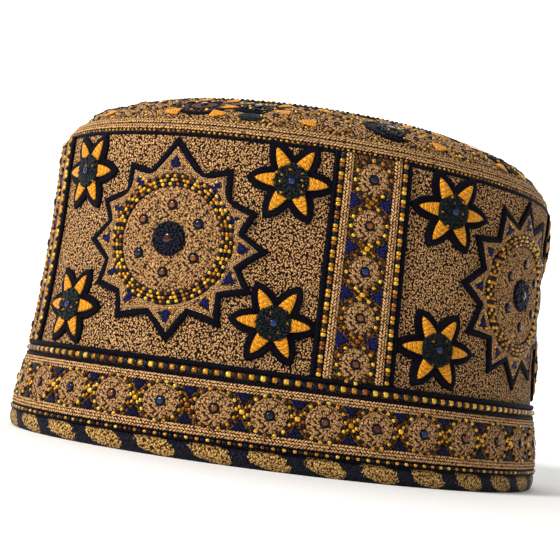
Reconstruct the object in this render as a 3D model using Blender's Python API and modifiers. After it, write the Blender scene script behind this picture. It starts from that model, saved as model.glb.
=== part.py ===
"""Balochi cap: an oval drum of quilted, embroidered cloth under a low crown, with raised stitched work.

The cap stands on its rim, with its long axis on X and its front at -Y. Sizes are in millimetres until a
mesh is made. The rings are turned profiles, stretched to the oval. The raised patches are drawn flat, in
millimetres of cloth, and then laid round the wall.
"""

import math
from collections import namedtuple

import bmesh
import bpy
import numpy as np

MM = 0.001

# Plan. The oval's half length and half width, as shares of the mean radius of a height.
OVAL_LONG = 1.097
OVAL_SHORT = 0.903
RING_STEPS = 48

# Wall. Mean radius of its outer face, from the hem up to the edge of the shoulder.
WallRow = namedtuple("WallRow", "height radius")
WALL_ROWS = (
    WallRow(7.6, 95.2),
    WallRow(32.7, 92.1),
    WallRow(71.7, 90.2),
    WallRow(110.7, 90.3),
)

# Crown. Mean radius and height of its outer face, from the seam to the middle.
CROWN_ROWS = (
    WallRow(117.0, 86.0),
    WallRow(120.6, 82.8),
    WallRow(123.2, 78.8),
    WallRow(125.8, 73.0),
    WallRow(128.7, 65.0),
    WallRow(131.2, 54.0),
    WallRow(133.5, 38.0),
    WallRow(135.3, 0.0),
)
CLOTH = 2.5
GAP = 0.3
LAID_GAP = 0.35

# Hem: a rolled binding that the cap stands on.
HEM_WIDTH = 6.4
HEM_FOOT = 3.4
HEM_BULGE = 1.0

# Seam braid, on the shoulder between the wall and the crown.
BRAID_WIDTH = 5.6
BRAID_HEIGHT = 0.9

# Relief above the wall: a patch's face, the top of its ridges, and how far a stone stands above them.
PATCH = 1.1
RIDGE = 1.9
STONE_RISE = 1.1
STONE_SEAT = 2.0
STONE_TOP = 1.1

# Base border: a belt of stitched roundels.
BORDER_FOOT = 6.9
BORDER_TOP = 32.4
BORDER_ROUNDELS = 32
BORDER_ROUNDEL_HEIGHT = 18.1
BORDER_ROUNDEL = 6.8

# Strips: four columns of roundels, at the ends and the middles of the oval.
STRIP_HALF_WIDTH = 14.6
STRIP_FOOT = 32.9
STRIP_TOP = 110.3
STRIP_ROUNDELS = 5
STRIP_LOWEST_ROUNDEL = 38.8
STRIP_PITCH = 15.92
STRIP_ROUNDEL = 5.5
STRIP_TURNS = {"front": 0.0, "right": 90.0, "back": 180.0, "left": 270.0}

# Panels, between the strips.
PANEL_TURNS = {"front_left": -45.0, "front_right": 45.0, "back_right": 135.0, "back_left": 225.0}

# Stars: one in each panel, with twelve points. Each is off its panel's middle, and leans, by so many degrees.
StarPlace = namedtuple("StarPlace", "shift lean")
STAR_PLACES = {
    "front_left": StarPlace(0.0, 3.0),
    "front_right": StarPlace(0.8, 0.0),
    "back_right": StarPlace(0.0, 0.0),
    "back_left": StarPlace(0.0, 0.0),
}
STAR_POINTS = 12
STAR_HEIGHT = 72.4
STAR_TIP = 36.0
STAR_NOTCH = 26.3
STAR_RING = 22.8
STAR_RING_TOP = (21.6, 19.3)
STAR_DISC = 18.0

# Flowers: four round each star, with six petals.
FLOWER_PETALS = 6
FLOWER_TURN = 25.9
FLOWER_HEIGHTS = {"upper": 97.0, "lower": 48.0}
FLOWER_TIP = 14.7
FLOWER_NOTCH = 8.6
FLOWER_DISC = 6.2
FLOWER_DISC_TOP = 5.2

ROUND_SIDES = 12

COLOURS = {
    "tan_stitching": ((0.46, 0.31, 0.12), 0.85),
    "braid_stitching": ((0.52, 0.36, 0.15), 0.8),
    "navy_stitching": ((0.012, 0.014, 0.05), 0.7),
    "gold_stitching": ((0.75, 0.34, 0.02), 0.55),
}


def material(name):
    """One plain stitched finish."""
    colour, roughness = COLOURS[name]
    made = bpy.data.materials.get(name) or bpy.data.materials.new(name)
    made.use_nodes = True
    shader = made.node_tree.nodes["Principled BSDF"]
    shader.inputs["Base Color"].default_value = (*colour, 1.0)
    shader.inputs["Roughness"].default_value = roughness
    shader.inputs["Metallic"].default_value = 0.0
    return made


def wall_radius(height):
    """Mean radius of the wall's outer face: a smooth curve through WALL_ROWS."""
    heights = [row.height for row in WALL_ROWS]
    radii = [row.radius for row in WALL_ROWS]
    slopes = np.gradient(radii, heights)
    i = int(np.clip(np.searchsorted(heights, height) - 1, 0, len(heights) - 2))
    span = heights[i + 1] - heights[i]
    t = (height - heights[i]) / span
    rise = t * t * (3 - 2 * t)
    lead = t * (1 - t) * (1 - t) * span * slopes[i]
    tail = t * t * (t - 1) * span * slopes[i + 1]
    return float(radii[i] * (1 - rise) + radii[i + 1] * rise + lead + tail)


def oval_table():
    """Turns, in degrees of the oval's girth from the front, and the angle on the oval that each one reaches."""
    angles = np.radians(np.arange(-720, 721) / 2)
    steps = np.hypot(OVAL_LONG * np.cos(angles), OVAL_SHORT * np.sin(angles))
    girth = np.concatenate([[0.0], np.cumsum((steps[1:] + steps[:-1]) / 2)])
    girth -= girth[len(girth) // 2]
    return 360.0 * girth / girth[-1], angles


GIRTH_TURNS, OVAL_ANGLES = oval_table()


def on_wall(turn, height, out):
    """The point that lies this far out from the wall, in metres."""
    turn = (turn + 180.0) % 360.0 - 180.0
    angle = float(np.interp(turn, GIRTH_TURNS, OVAL_ANGLES))
    radius = wall_radius(height)
    slope = (wall_radius(height + 0.5) - wall_radius(height - 0.5)) / 1.0
    x, y = OVAL_LONG * math.sin(angle), -OVAL_SHORT * math.cos(angle)
    normal = np.array([x / OVAL_LONG**2, y / OVAL_SHORT**2])
    normal /= np.hypot(*normal)
    lean = math.hypot(1.0, slope)
    return (
        (radius * x + out * normal[0] / lean) * MM,
        (radius * y + out * normal[1] / lean) * MM,
        (height - out * slope / lean) * MM,
    )


def laid(turn, height, along, up, out):
    """A patch's flat point, along and up from its centre, where it lies on the wall."""
    level = height + up
    return on_wall(turn + math.degrees(along / wall_radius(level)), level, out)


def add_object(name, mesh, finish, collection):
    mesh.materials.append(material(finish))
    mesh.shade_smooth()
    mesh.set_sharp_from_angle(angle=math.radians(35))
    made = bpy.data.objects.new(name, mesh)
    collection.objects.link(made)
    return made


def finish_mesh(bm, name):
    """Welds what meets, turns the faces outward and gives the mesh."""
    bmesh.ops.remove_doubles(bm, verts=bm.verts, dist=0.00002)
    bmesh.ops.recalc_face_normals(bm, faces=bm.faces)
    mesh = bpy.data.meshes.new(name)
    bm.to_mesh(mesh)
    bm.free()
    return mesh


def turned_ring(name, section, finish, collection, closed=True):
    """A profile of (radius, height) rows, turned once round Z and stretched to the oval."""
    bm = bmesh.new()
    points = [bm.verts.new((radius * MM, 0.0, height * MM)) for radius, height in section]
    ends = zip(points, points[1:] + points[:1]) if closed else zip(points, points[1:])
    for pair in ends:
        bm.edges.new(pair)
    mesh = bpy.data.meshes.new(name)
    bm.to_mesh(mesh)
    bm.free()
    made = add_object(name, mesh, finish, collection)
    made.scale = (OVAL_LONG, OVAL_SHORT, 1.0)
    screw = made.modifiers.new("Turn", "SCREW")
    screw.steps = screw.render_steps = RING_STEPS
    screw.use_merge_vertices = True
    screw.merge_threshold = 0.00005
    screw.use_smooth_shade = True
    return made


def side_band(collection):
    """The drum's wall, from just above the hem to the seam, with the shoulder turned in at its top."""
    foot = HEM_WIDTH + GAP
    seam = CROWN_ROWS[0]
    levels = (foot, 20.0, 32.7, 52.0, 71.7, 91.0, 106.0, 110.7)
    outer = [(wall_radius(level), level) for level in levels]
    outer.append((seam.radius, seam.height - GAP / 2))
    inner = [(seam.radius - CLOTH, seam.height - CLOTH * 0.4 - GAP / 2)]
    inner += [(wall_radius(level) - CLOTH, level) for level in (109.0, 71.7, 32.7, foot)]
    return turned_ring("side_band", (outer + inner)[::-1], "tan_stitching", collection)


def crown(collection):
    """The domed top, a shell of cloth whose edge meets the wall at the seam."""
    seam = CROWN_ROWS[0]
    lift = GAP / 2
    outer = [(row.radius, row.height + lift) for row in CROWN_ROWS]
    inner = [(seam.radius - CLOTH, seam.height - CLOTH * 0.4 + lift)]
    for row in CROWN_ROWS[2:-1:2]:
        inner.append((row.radius - CLOTH * 0.5, row.height - CLOTH * 0.85 + lift))
    inner.append((0.0, CROWN_ROWS[-1].height - CLOTH + lift))
    return turned_ring("crown", outer[::-1] + inner, "tan_stitching", collection, closed=False)


def seam_braid(collection):
    """A flat double braid that lies on the shoulder, just below the seam."""
    edge, seam = WALL_ROWS[-1], CROWN_ROWS[0]
    run = np.array([seam.radius - edge.radius, seam.height - edge.height])
    along = run / np.hypot(*run)
    out = np.array([along[1], -along[0]])
    middle = np.array([edge.radius, edge.height]) + run / 2
    rows = (
        (-0.5, GAP),
        (-0.5, GAP + 0.5 * BRAID_HEIGHT),
        (-0.25, GAP + BRAID_HEIGHT),
        (0.25, GAP + BRAID_HEIGHT),
        (0.5, GAP + 0.5 * BRAID_HEIGHT),
        (0.5, GAP),
    )
    section = [tuple(middle + along * share * BRAID_WIDTH + out * rise) for share, rise in rows]
    return turned_ring("seam_braid", section[::-1], "braid_stitching", collection)


def rim_binding(collection):
    """The rolled hem: flat where the cap stands on it, full on its outer side."""
    top_radius = wall_radius(BORDER_FOOT)
    middle = top_radius - CLOTH / 2 - 0.8
    half = HEM_FOOT / 2
    section = (
        (middle + half, 0.0),
        (top_radius - 0.3, 1.6),
        (top_radius + HEM_BULGE, 4.2),
        (top_radius + HEM_BULGE * 0.9, HEM_WIDTH),
        (top_radius - CLOTH - 0.4, HEM_WIDTH),
        (top_radius - CLOTH - 1.2, 3.6),
        (middle - half, 0.0),
    )
    return turned_ring("rim_binding", section[::-1], "navy_stitching", collection)


def circle(radius, out, sides=ROUND_SIDES):
    """A ring of flat points (along, up, out)."""
    return [
        (radius * math.cos(2 * math.pi * i / sides), radius * math.sin(2 * math.pi * i / sides), out)
        for i in range(sides)
    ]


def pointed(tip, notch, points, out, first=0.0):
    """A star's outline of flat points, a tip and a notch in turn; first is the first tip's angle."""
    outline = []
    for i in range(2 * points):
        radius = notch if i % 2 else tip
        angle = math.radians(first) + math.pi * i / points
        outline.append((radius * math.cos(angle), radius * math.sin(angle), out))
    return outline


def loft(bm, place, rings, cap_last=True):
    """Quads from ring to ring, and a face over the last one."""
    made = [[bm.verts.new(place(*point)) for point in ring] for ring in rings]
    for lower, upper in zip(made, made[1:]):
        for i in range(len(lower)):
            j = (i + 1) % len(lower)
            bm.faces.new((lower[i], lower[j], upper[j], upper[i]))
    if cap_last:
        bm.faces.new(made[-1])
    return made


def fan(bm, ring, centre):
    """Closes a ring with triangles that meet at its centre."""
    for i in range(len(ring)):
        bm.faces.new((ring[i - 1], ring[i], centre))


def cell_edge(half_width, below, above, out):
    """Twelve points round a roundel's cell, starting at the right middle, with one at each corner."""
    return [
        (half_width, 0.0, out),
        (half_width, above / 2, out),
        (half_width, above, out),
        (0.0, above, out),
        (-half_width, above, out),
        (-half_width, above / 2, out),
        (-half_width, 0.0, out),
        (-half_width, -below / 2, out),
        (-half_width, -below, out),
        (0.0, -below, out),
        (half_width, -below, out),
        (half_width, -below / 2, out),
    ]


def roundel_cell(bm, place, half_width, below, above, radius):
    """One cell's upper face, with its roundel raised in the middle."""
    loft(
        bm,
        place,
        [
            cell_edge(half_width, below, above, PATCH),
            circle(radius, PATCH),
            circle(radius - 0.7, RIDGE),
        ],
    )


def back_face(bm, place, columns, rows):
    """A grid of faces next to the wall."""
    grid = [[bm.verts.new(place(along, up, LAID_GAP)) for along in columns] for up in rows]
    for lower, upper in zip(grid, grid[1:]):
        for i in range(len(columns) - 1):
            bm.faces.new((lower[i], upper[i], upper[i + 1], lower[i + 1]))


def side_face(bm, place, front, back):
    """One face between a run of points on the upper face and a run on the back."""
    points = [place(along, up, PATCH) for along, up in front]
    points += [place(along, up, LAID_GAP) for along, up in reversed(back)]
    bm.faces.new([bm.verts.new(point) for point in points])


def base_border(collection):
    """The belt above the hem: equal cells round the cap, joined where they meet."""
    pitch = 360.0 / BORDER_ROUNDELS
    below = BORDER_ROUNDEL_HEIGHT - BORDER_FOOT
    above = BORDER_TOP - BORDER_ROUNDEL_HEIGHT
    half = math.radians(pitch / 2) * wall_radius(BORDER_ROUNDEL_HEIGHT)
    bm = bmesh.new()
    for i in range(BORDER_ROUNDELS):
        turn = (i + 0.5) * pitch

        def place(along, up, out):
            return on_wall(turn + along / half * pitch / 2, BORDER_ROUNDEL_HEIGHT + up, out)

        roundel_cell(bm, place, half, below, above, BORDER_ROUNDEL)
        back_face(bm, place, (-half, 0.0, half), (-below, 0.0, above))
        for up in (-below, above):
            edge = [(-half, up), (0.0, up), (half, up)]
            side_face(bm, place, edge[:2], edge[:2])
            side_face(bm, place, edge[1:], edge[1:])
    return add_object("base_border", finish_mesh(bm, "base_border"), "tan_stitching", collection)


def strip(name, turn, collection):
    """An upright column of roundels that divides two panels."""
    half = STRIP_HALF_WIDTH
    columns = (-half, -half / 2, 0.0, half / 2, half)
    bm = bmesh.new()
    foot = STRIP_FOOT
    for i in range(STRIP_ROUNDELS):
        height = STRIP_LOWEST_ROUNDEL + i * STRIP_PITCH
        top = STRIP_TOP if i == STRIP_ROUNDELS - 1 else height + STRIP_PITCH / 2

        def place(along, up, out):
            return laid(turn, height, along, up, out)

        below, above = height - foot, top - height
        roundel_cell(bm, place, half, below, above, STRIP_ROUNDEL)
        back_face(bm, place, columns, (-below, 0.0, above))
        for along in (-half, half):
            halves = ((-below, -below / 2, 0.0), (0.0, above / 2, above))
            for run in halves:
                side_face(bm, place, [(along, up) for up in run], [(along, up) for up in (run[0], run[-1])])
        for up, is_end in ((-below, i == 0), (above, i == STRIP_ROUNDELS - 1)):
            if is_end:
                front = [(along, up) for along in (-half, 0.0, half)]
                side_face(bm, place, front, [(along, up) for along in columns])
        foot = top
    return add_object(name, finish_mesh(bm, name), "braid_stitching", collection)


def raised_patch(name, turn, height, rings, back_rings, finish, collection):
    """A patch whose upper face goes through rings, from its outline in, and whose back follows the wall."""

    def place(along, up, out):
        return laid(turn, height, along, up, out)

    bm = bmesh.new()
    loft(bm, place, rings)
    back = loft(bm, place, [rings[0]] + back_rings, cap_last=False)
    fan(bm, back[-1], bm.verts.new(place(0.0, 0.0, LAID_GAP)))
    return add_object(name, finish_mesh(bm, name), finish, collection)


def star(name, turn, lean, collection):
    """A twelve-pointed patch: a raised ring round a stitched disc, with a cut stone in the middle."""
    first = 90.0 + lean

    def sized(radius, out):
        return pointed(radius, radius, STAR_POINTS, out, first)

    rings = [
        pointed(STAR_TIP, STAR_NOTCH, STAR_POINTS, LAID_GAP, first),
        pointed(STAR_TIP, STAR_NOTCH, STAR_POINTS, PATCH, first),
        sized(STAR_RING, PATCH),
        sized(STAR_RING_TOP[0], RIDGE),
        sized(STAR_RING_TOP[1], RIDGE),
        sized(STAR_DISC, PATCH + 0.3),
        sized(STONE_SEAT, RIDGE + 0.3),
        sized(STONE_TOP, RIDGE + STONE_RISE),
    ]
    back = [sized(STAR_TIP * share, LAID_GAP) for share in (0.62, 0.3)]
    return raised_patch(name, turn, STAR_HEIGHT, rings, back, "tan_stitching", collection)


def flower(name, turn, height, collection):
    """A six-petalled patch with a beaded middle and a cut stone."""

    def sized(radius, out):
        return pointed(radius, radius, FLOWER_PETALS, out)

    rings = [
        pointed(FLOWER_TIP, FLOWER_NOTCH, FLOWER_PETALS, LAID_GAP),
        pointed(FLOWER_TIP, FLOWER_NOTCH, FLOWER_PETALS, PATCH),
        sized(FLOWER_DISC, PATCH + 0.4),
        sized(FLOWER_DISC_TOP, RIDGE),
        sized(STONE_SEAT, RIDGE + 0.2),
        sized(STONE_TOP, RIDGE + STONE_RISE),
    ]
    back = [sized(FLOWER_NOTCH, LAID_GAP)]
    return raised_patch(name, turn, height, rings, back, "gold_stitching", collection)


def main():
    for left in list(bpy.data.objects):
        bpy.data.objects.remove(left, do_unlink=True)
    collection = bpy.data.collections.new("Balochi cap")
    bpy.context.scene.collection.children.link(collection)

    rim_binding(collection)
    side_band(collection)
    crown(collection)
    seam_braid(collection)
    base_border(collection)
    for side, turn in STRIP_TURNS.items():
        strip(f"strip_{side}", turn, collection)
    for panel, turn in PANEL_TURNS.items():
        place = STAR_PLACES[panel]
        star(f"star_{panel}", turn + place.shift, place.lean, collection)
        for level, height in FLOWER_HEIGHTS.items():
            flower(f"flower_{panel}_{level}_1", turn - FLOWER_TURN, height, collection)
            flower(f"flower_{panel}_{level}_2", turn + FLOWER_TURN, height, collection)


main()
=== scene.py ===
"""Looks of the balochi cap: its stitched cloth, braids, roundels, stars, flowers, beads and stones.

Sizes are in millimetres until a mesh is made. Patches are drawn flat, in millimetres of cloth (along, up
and out), and then laid on the cap at a turn, in degrees of its girth from the front, and a level, which is
the height on the wall and goes on as the length over the shoulder and the crown.
"""

import math
from collections import namedtuple

import bpy
import numpy as np
from mathutils import Matrix, Vector


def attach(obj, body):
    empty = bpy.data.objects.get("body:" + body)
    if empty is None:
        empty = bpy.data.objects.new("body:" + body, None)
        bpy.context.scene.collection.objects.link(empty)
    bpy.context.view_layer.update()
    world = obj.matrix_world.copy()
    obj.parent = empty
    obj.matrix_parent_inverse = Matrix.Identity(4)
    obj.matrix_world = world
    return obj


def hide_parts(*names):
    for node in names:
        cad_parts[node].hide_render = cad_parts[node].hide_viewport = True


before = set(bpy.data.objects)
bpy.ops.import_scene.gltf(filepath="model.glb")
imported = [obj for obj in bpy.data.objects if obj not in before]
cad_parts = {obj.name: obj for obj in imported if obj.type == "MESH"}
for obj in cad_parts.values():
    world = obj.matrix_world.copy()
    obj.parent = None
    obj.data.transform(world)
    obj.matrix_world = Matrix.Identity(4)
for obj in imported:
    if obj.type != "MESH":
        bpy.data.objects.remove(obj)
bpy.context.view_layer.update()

MM = 0.001

# Plan and profile, as in the part's source. The rows are height and mean radius.
OVAL_LONG = 1.097
OVAL_SHORT = 0.903
WALL_ROWS = ((7.6, 95.2), (32.7, 92.1), (71.7, 90.2), (110.7, 90.3))
CROWN_ROWS = (
    (117.0, 86.0), (120.6, 82.8), (123.2, 78.8), (125.8, 73.0),
    (128.7, 65.0), (131.2, 54.0), (133.5, 38.0), (135.3, 0.0),
)
PROFILE_STEP = 0.5
SHOULDER_FOOT = 108.0
CLOTH = 2.5
CLOTH_FOOT = 6.7
SEAM_LEVEL = 118.3
GIRTH_STEPS = 288

# Hem roll: its outline as (out from the wall's foot, height).
HEM_OUTLINE = (
    (-3.6, 0.0), (-0.6, 0.0), (0.3, 0.7), (0.85, 2.1), (1.05, 3.8), (0.95, 5.2), (0.45, 6.2),
    (-0.6, 6.6), (-2.2, 6.6), (-3.2, 6.1), (-3.75, 4.6), (-3.85, 2.4), (-3.8, 0.7),
)
HEM_LEVEL = 6.9
HEM_STEPS = 320

# Lines of stitches right round the cap.
Line = namedtuple("Line", "look level width height")
SEAM_LINES = (
    Line("tan chain", 113.2, 2.3, 1.0),
    Line("tan chain", 115.9, 2.3, 1.0),
    Line("navy satin", 110.3, 1.3, 0.5),
    Line("navy satin", 114.55, 0.8, 0.3),
)
SEAM_BEAD_LEVELS = (111.5, 117.6)
SEAM_BEADS = 580

# Belt of roundels above the hem.
BORDER_FOOT = 6.9
BORDER_TOP = 32.6
BORDER_ROUNDELS = 32
BORDER_LEVEL = 18.1
BORDER_DISC = (6.75, 6.1)
BORDER_RING = (7.3, 6.65)
BORDER_RING_BEADS = 28
BORDER_LINES = (
    Line("navy satin", 32.1, 1.9, 0.7),
    Line("navy satin", 27.9, 1.5, 0.6),
    Line("tan chain", 25.8, 3.0, 0.85),
    Line("tan chain", 10.1, 3.2, 0.85),
    Line("navy satin", 8.25, 0.8, 0.4),
    Line("navy satin", 6.6, 0.8, 0.5),
)
BEAD_BELT_LEVEL = 29.95
BEAD_BELT_COUNT = 300
SMALL_BELT_LEVEL = 7.4
SMALL_BELT_COUNT = 330

# Strips of roundels. The front one leans and tapers, as it does on the real cap.
STRIP_TURNS = {"front": 0.0, "right": 90.0, "back": 180.0, "left": 270.0}
STRIP_FOOT = 32.9
STRIP_TOP = 110.2
STRIP_ROUNDELS = 5
STRIP_LOWEST = 38.8
STRIP_PITCH = 15.92
STRIP_HALF = 14.4
STRIP_NAVY = 14.1
STRIP_BEADS = 12.2
STRIP_BEAD_PITCH = 1.5
STRIP_CHAIN = 9.35
STRIP_DISC = 5.75
STRIP_RING = 6.45
STRIP_RING_BEADS = 24
STRIP_STEPS = 40
StripLean = namedtuple("StripLean", "foot bend taper")
STRAIGHT = StripLean(0.0, 0.0, 0.0)
STRIP_LEANS = {"front": StripLean(-0.6, -1.6, 0.06)}

# Panels with a star and four flowers each.
PANEL_TURNS = {"front_left": -45.0, "front_right": 45.0, "back_right": 135.0, "back_left": 225.0}
STAR_LEVEL = 72.4
STAR_POINTS = 12
StarPlace = namedtuple("StarPlace", "shift level uneven")
STAR_PLACES = {
    "front_left": StarPlace(1.0, 73.4, True),
    "front_right": StarPlace(1.8, 73.2, False),
    "back_right": StarPlace(0.0, STAR_LEVEL, False),
    "back_left": StarPlace(0.0, STAR_LEVEL, False),
}

# The front left star is uneven: each tip's angle and reach, and those of the notch that follows it clockwise.
TipRow = namedtuple("TipRow", "angle reach notch_angle notch")
UNEVEN_TIPS = (
    TipRow(92.6, 36.4, 68.0, 25.3),
    TipRow(53.5, 33.2, 38.0, 25.2),
    TipRow(22.0, 32.8, 9.0, 26.1),
    TipRow(-1.5, 35.6, -17.0, 27.0),
    TipRow(-26.7, 35.6, -40.5, 27.6),
    TipRow(-52.0, 36.4, -66.5, 27.3),
    TipRow(-82.6, 36.3, -98.3, 26.9),
    TipRow(-119.0, 34.2, -130.5, 27.2),
    TipRow(-147.0, 33.8, -160.0, 26.8),
    TipRow(-176.5, 35.0, -191.3, 26.8),
    TipRow(-202.6, 33.4, -219.8, 25.6),
    TipRow(-233.1, 33.2, -246.2, 26.0),
)
STAR_TIP = 36.0
STAR_NOTCH = 26.3
STAR_LINE = 2.4
STAR_BEAD_ROWS = (19.2, 20.6, 22.0)
STAR_BEAD_PITCH = 1.42
STAR_DISC = 18.2
STAR_STONES = 11.8
STAR_HEART = 6.2
BluePatch = namedtuple("BluePatch", "foot top half")
STAR_BLUE = BluePatch(11.4, 6.2, 2.4)
# Beads that edge the blue patch in a tip: along from its foot, and aside.
TIP_BEADS = ((-0.9, 0.0), (-0.9, 1.4), (-0.7, 2.7), (0.8, 2.3), (2.2, 1.7), (3.6, 1.0))
FLOWER_TURN = 25.9
FLOWER_LEVELS = {"upper": 97.0, "lower": 48.0}
Nudge = namedtuple("Nudge", "turn level wide")
IN_PLACE = Nudge(0.0, 0.0, 1.0)
FLOWER_NUDGES = {
    "front_left_upper_1": Nudge(0.7, -0.8, 1.0),
    "front_left_lower_1": Nudge(2.0, -0.9, 1.0),
    "front_left_upper_2": Nudge(0.2, 0.7, 1.0),
    "front_left_lower_2": Nudge(0.4, 0.9, 1.0),
    "front_right_upper_1": Nudge(0.2, -0.1, 1.13),
    "front_right_lower_1": Nudge(0.0, -0.2, 1.13),
    "front_right_upper_2": Nudge(2.7, 0.0, 0.82),
    "front_right_lower_2": Nudge(2.7, 0.0, 0.82),
}
FLOWER_TIP = 15.7
FLOWER_NOTCH = 8.9
FLOWER_DISC = 6.2
FLOWER_BEADS = 120
PETAL_STEPS = 6
PETAL_SWELL = 1.1
PETAL_TIP = 12.7
PETAL_FOOT = 5.4
PETAL_HALF = 2.38

# Crown embroidery, by its depth inward from the seam. Turns are counted from a panel's middle, both ways.
CROWN_EYE, CROWN_EYE_DEPTH = (10.4, 7.6), 9.4
CROWN_DISC, CROWN_DISC_DEPTH = (10.6, 7.6), 9.4
CROWN_DISC_SHIFT = 4.5
CROWN_GREEN, CROWN_GREEN_TURN, CROWN_GREEN_DEPTH = (9.6, 6.0), 14.0, 11.4
CROWN_GREEN_LEAF = (4.6, 2.3)
CROWN_GREEN_LEAF_DEPTH = 3.0
CROWN_ROUNDEL = 4.3
CrownSpot = namedtuple("CrownSpot", "turn depth")
CROWN_ROUNDELS = (CrownSpot(19.8, 5.0), CrownSpot(34.6, 5.0), CrownSpot(26.6, 15.5), CrownSpot(37.5, 18.5))
CROWN_LEFT_ROUNDEL = CrownSpot(12.5, 10.0)
CrownLeaf = namedtuple("CrownLeaf", "turn depth spin")
CROWN_LEAVES = (
    CrownLeaf(6.2, 3.0, 0.0),
    CrownLeaf(27.6, 3.4, 180.0),
    CrownLeaf(20.0, 18.5, 240.0),
    CrownLeaf(32.0, 19.5, 300.0),
    CrownLeaf(4.5, 20.5, 90.0),
)
CrownLine = namedtuple("CrownLine", "depth width")
CROWN_LINES = (CrownLine(25.0, 1.6), CrownLine(29.0, 1.0))
CROWN_BEADS_DEPTH = 27.1
CROWN_BEADS = 200
CROWN_STAR_SIZE = 1.1
CROWN_SPECKS = 1300

# Relief of the stitched grounds above the wall's face.
GROUND = 0.9

# Which stone's colour each number stands for, in the stone material's ramp.
STONE_NAVY, STONE_ORANGE, STONE_BLUE, STONE_BROWN, STONE_RED = 0.1, 0.3, 0.5, 0.7, 0.9
BELT_STONES = (
    (STONE_RED, STONE_BLUE, STONE_ORANGE, STONE_BROWN)
    + (STONE_NAVY, STONE_ORANGE, STONE_RED, STONE_BLUE)
    + (STONE_BROWN, STONE_ORANGE, STONE_NAVY, STONE_ORANGE)
    + (STONE_BLUE, STONE_ORANGE, STONE_NAVY, STONE_BROWN)
)
STRIP_STONES = (STONE_BROWN, STONE_ORANGE, STONE_BLUE, STONE_ORANGE, STONE_NAVY)
STAR_STONE_KINDS = (STONE_ORANGE, STONE_ORANGE, STONE_NAVY, STONE_BROWN, STONE_ORANGE, STONE_NAVY)

GOLDEN_ANGLE = 2.39996
chance = np.random.default_rng(12)


# The cap's face


def wall_radius(height):
    """Mean radius of the wall's outer face: a smooth curve through WALL_ROWS."""
    heights, radii = np.array(WALL_ROWS).T
    slopes = np.gradient(radii, heights)
    i = np.clip(np.searchsorted(heights, height) - 1, 0, len(heights) - 2)
    span = heights[i + 1] - heights[i]
    t = (height - heights[i]) / span
    rise = t * t * (3 - 2 * t)
    lead = t * (1 - t) * (1 - t) * span * slopes[i]
    tail = t * t * (t - 1) * span * slopes[i + 1]
    return radii[i] * (1 - rise) + radii[i + 1] * rise + lead + tail


def cap_profile():
    """Level, mean radius, height and the normal's two parts, from the floor to the crown's middle."""
    crown_heights, crown_radii = np.array(CROWN_ROWS).T
    heights = np.arange(0.0, WALL_ROWS[-1][0] - 0.1, PROFILE_STEP)
    radii = np.concatenate([wall_radius(heights), crown_radii, [-crown_radii[-2]]])
    heights = np.concatenate([heights, crown_heights, [crown_heights[-2]]])
    run = np.concatenate([[0.0], np.cumsum(np.hypot(np.diff(radii), np.diff(heights)))])
    even = np.arange(0.0, run[-1], PROFILE_STEP)
    radii, heights = np.interp(even, run, radii), np.interp(even, run, heights)
    soft = np.ones(7) / 7
    for _ in range(2):
        radii = np.convolve(np.pad(radii, 3, "edge"), soft, "valid")
        heights = np.convolve(np.pad(heights, 3, "edge"), soft, "valid")
    end = int(np.argmax(radii <= 0.0))
    radii, heights = radii[: end + 1], heights[: end + 1]
    radii[-1] = 0.0
    out_r, out_z = np.gradient(heights), -np.gradient(radii)
    size = np.hypot(out_r, out_z)
    out_r, out_z = out_r / size, out_z / size
    out_r[-1], out_z[-1] = 0.0, 1.0
    lengths = np.hypot(np.diff(radii), np.diff(heights))
    steps = np.where(heights[1:] < SHOULDER_FOOT, np.diff(heights), lengths)
    levels = heights[0] + np.concatenate([[0.0], np.cumsum(steps)])
    return levels, radii, heights, out_r, out_z


def oval_table():
    """Turns, in degrees of the oval's girth from the front, and the angle on the oval at each."""
    angles = np.radians(np.arange(-720, 721) / 2)
    steps = np.hypot(OVAL_LONG * np.cos(angles), OVAL_SHORT * np.sin(angles))
    girth = np.concatenate([[0.0], np.cumsum((steps[1:] + steps[:-1]) / 2)])
    girth -= girth[len(girth) // 2]
    return 360.0 * girth / girth[-1], angles


LEVELS, RADII, HEIGHTS, OUT_R, OUT_Z = cap_profile()
TOP_LEVEL = float(LEVELS[-1])
GIRTH_TURNS, OVAL_ANGLES = oval_table()


def radius_at(level):
    return np.interp(level, LEVELS, RADII)


def oval_angle(turn):
    """The angle on the oval that a turn reaches."""
    turn = (np.asarray(turn, float) + 180.0) % 360.0 - 180.0
    return np.interp(turn, GIRTH_TURNS, OVAL_ANGLES)


def even_turns(count):
    """Turns spread evenly right round the cap."""
    return np.arange(count) * 360.0 / count


def place(turn, level, out):
    """Points this far out from the cap's face, in metres."""
    angle = oval_angle(turn)
    x, y = OVAL_LONG * np.sin(angle), -OVAL_SHORT * np.cos(angle)
    nx, ny = x / OVAL_LONG**2, y / OVAL_SHORT**2
    size = np.hypot(nx, ny)
    radius = radius_at(level)
    out_r = out * np.interp(level, LEVELS, OUT_R) / size
    height = np.interp(level, LEVELS, HEIGHTS) + out * np.interp(level, LEVELS, OUT_Z)
    spot = np.broadcast_arrays(radius * x + out_r * nx, radius * y + out_r * ny, height)
    return np.stack(spot, axis=-1) * MM


# Shapes: closed bodies, with the cloth coordinates of each face corner

Shape = namedtuple("Shape", "points quads quad_uv tris tri_uv")


def polar(reach, degrees):
    angles = np.radians(degrees)
    return np.stack([reach * np.cos(angles), reach * np.sin(angles)], -1)


def turned(flat, degrees):
    """Flat points turned about the middle."""
    c, s = math.cos(math.radians(degrees)), math.sin(math.radians(degrees))
    return flat @ np.array([[c, s], [-s, c]])


def raised(flat, out):
    """Flat points, all this far out."""
    return np.column_stack([flat, np.full(len(flat), out)])


def closed(points):
    """Points with the first one repeated at the end."""
    return np.concatenate([points, points[:1]])


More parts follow.
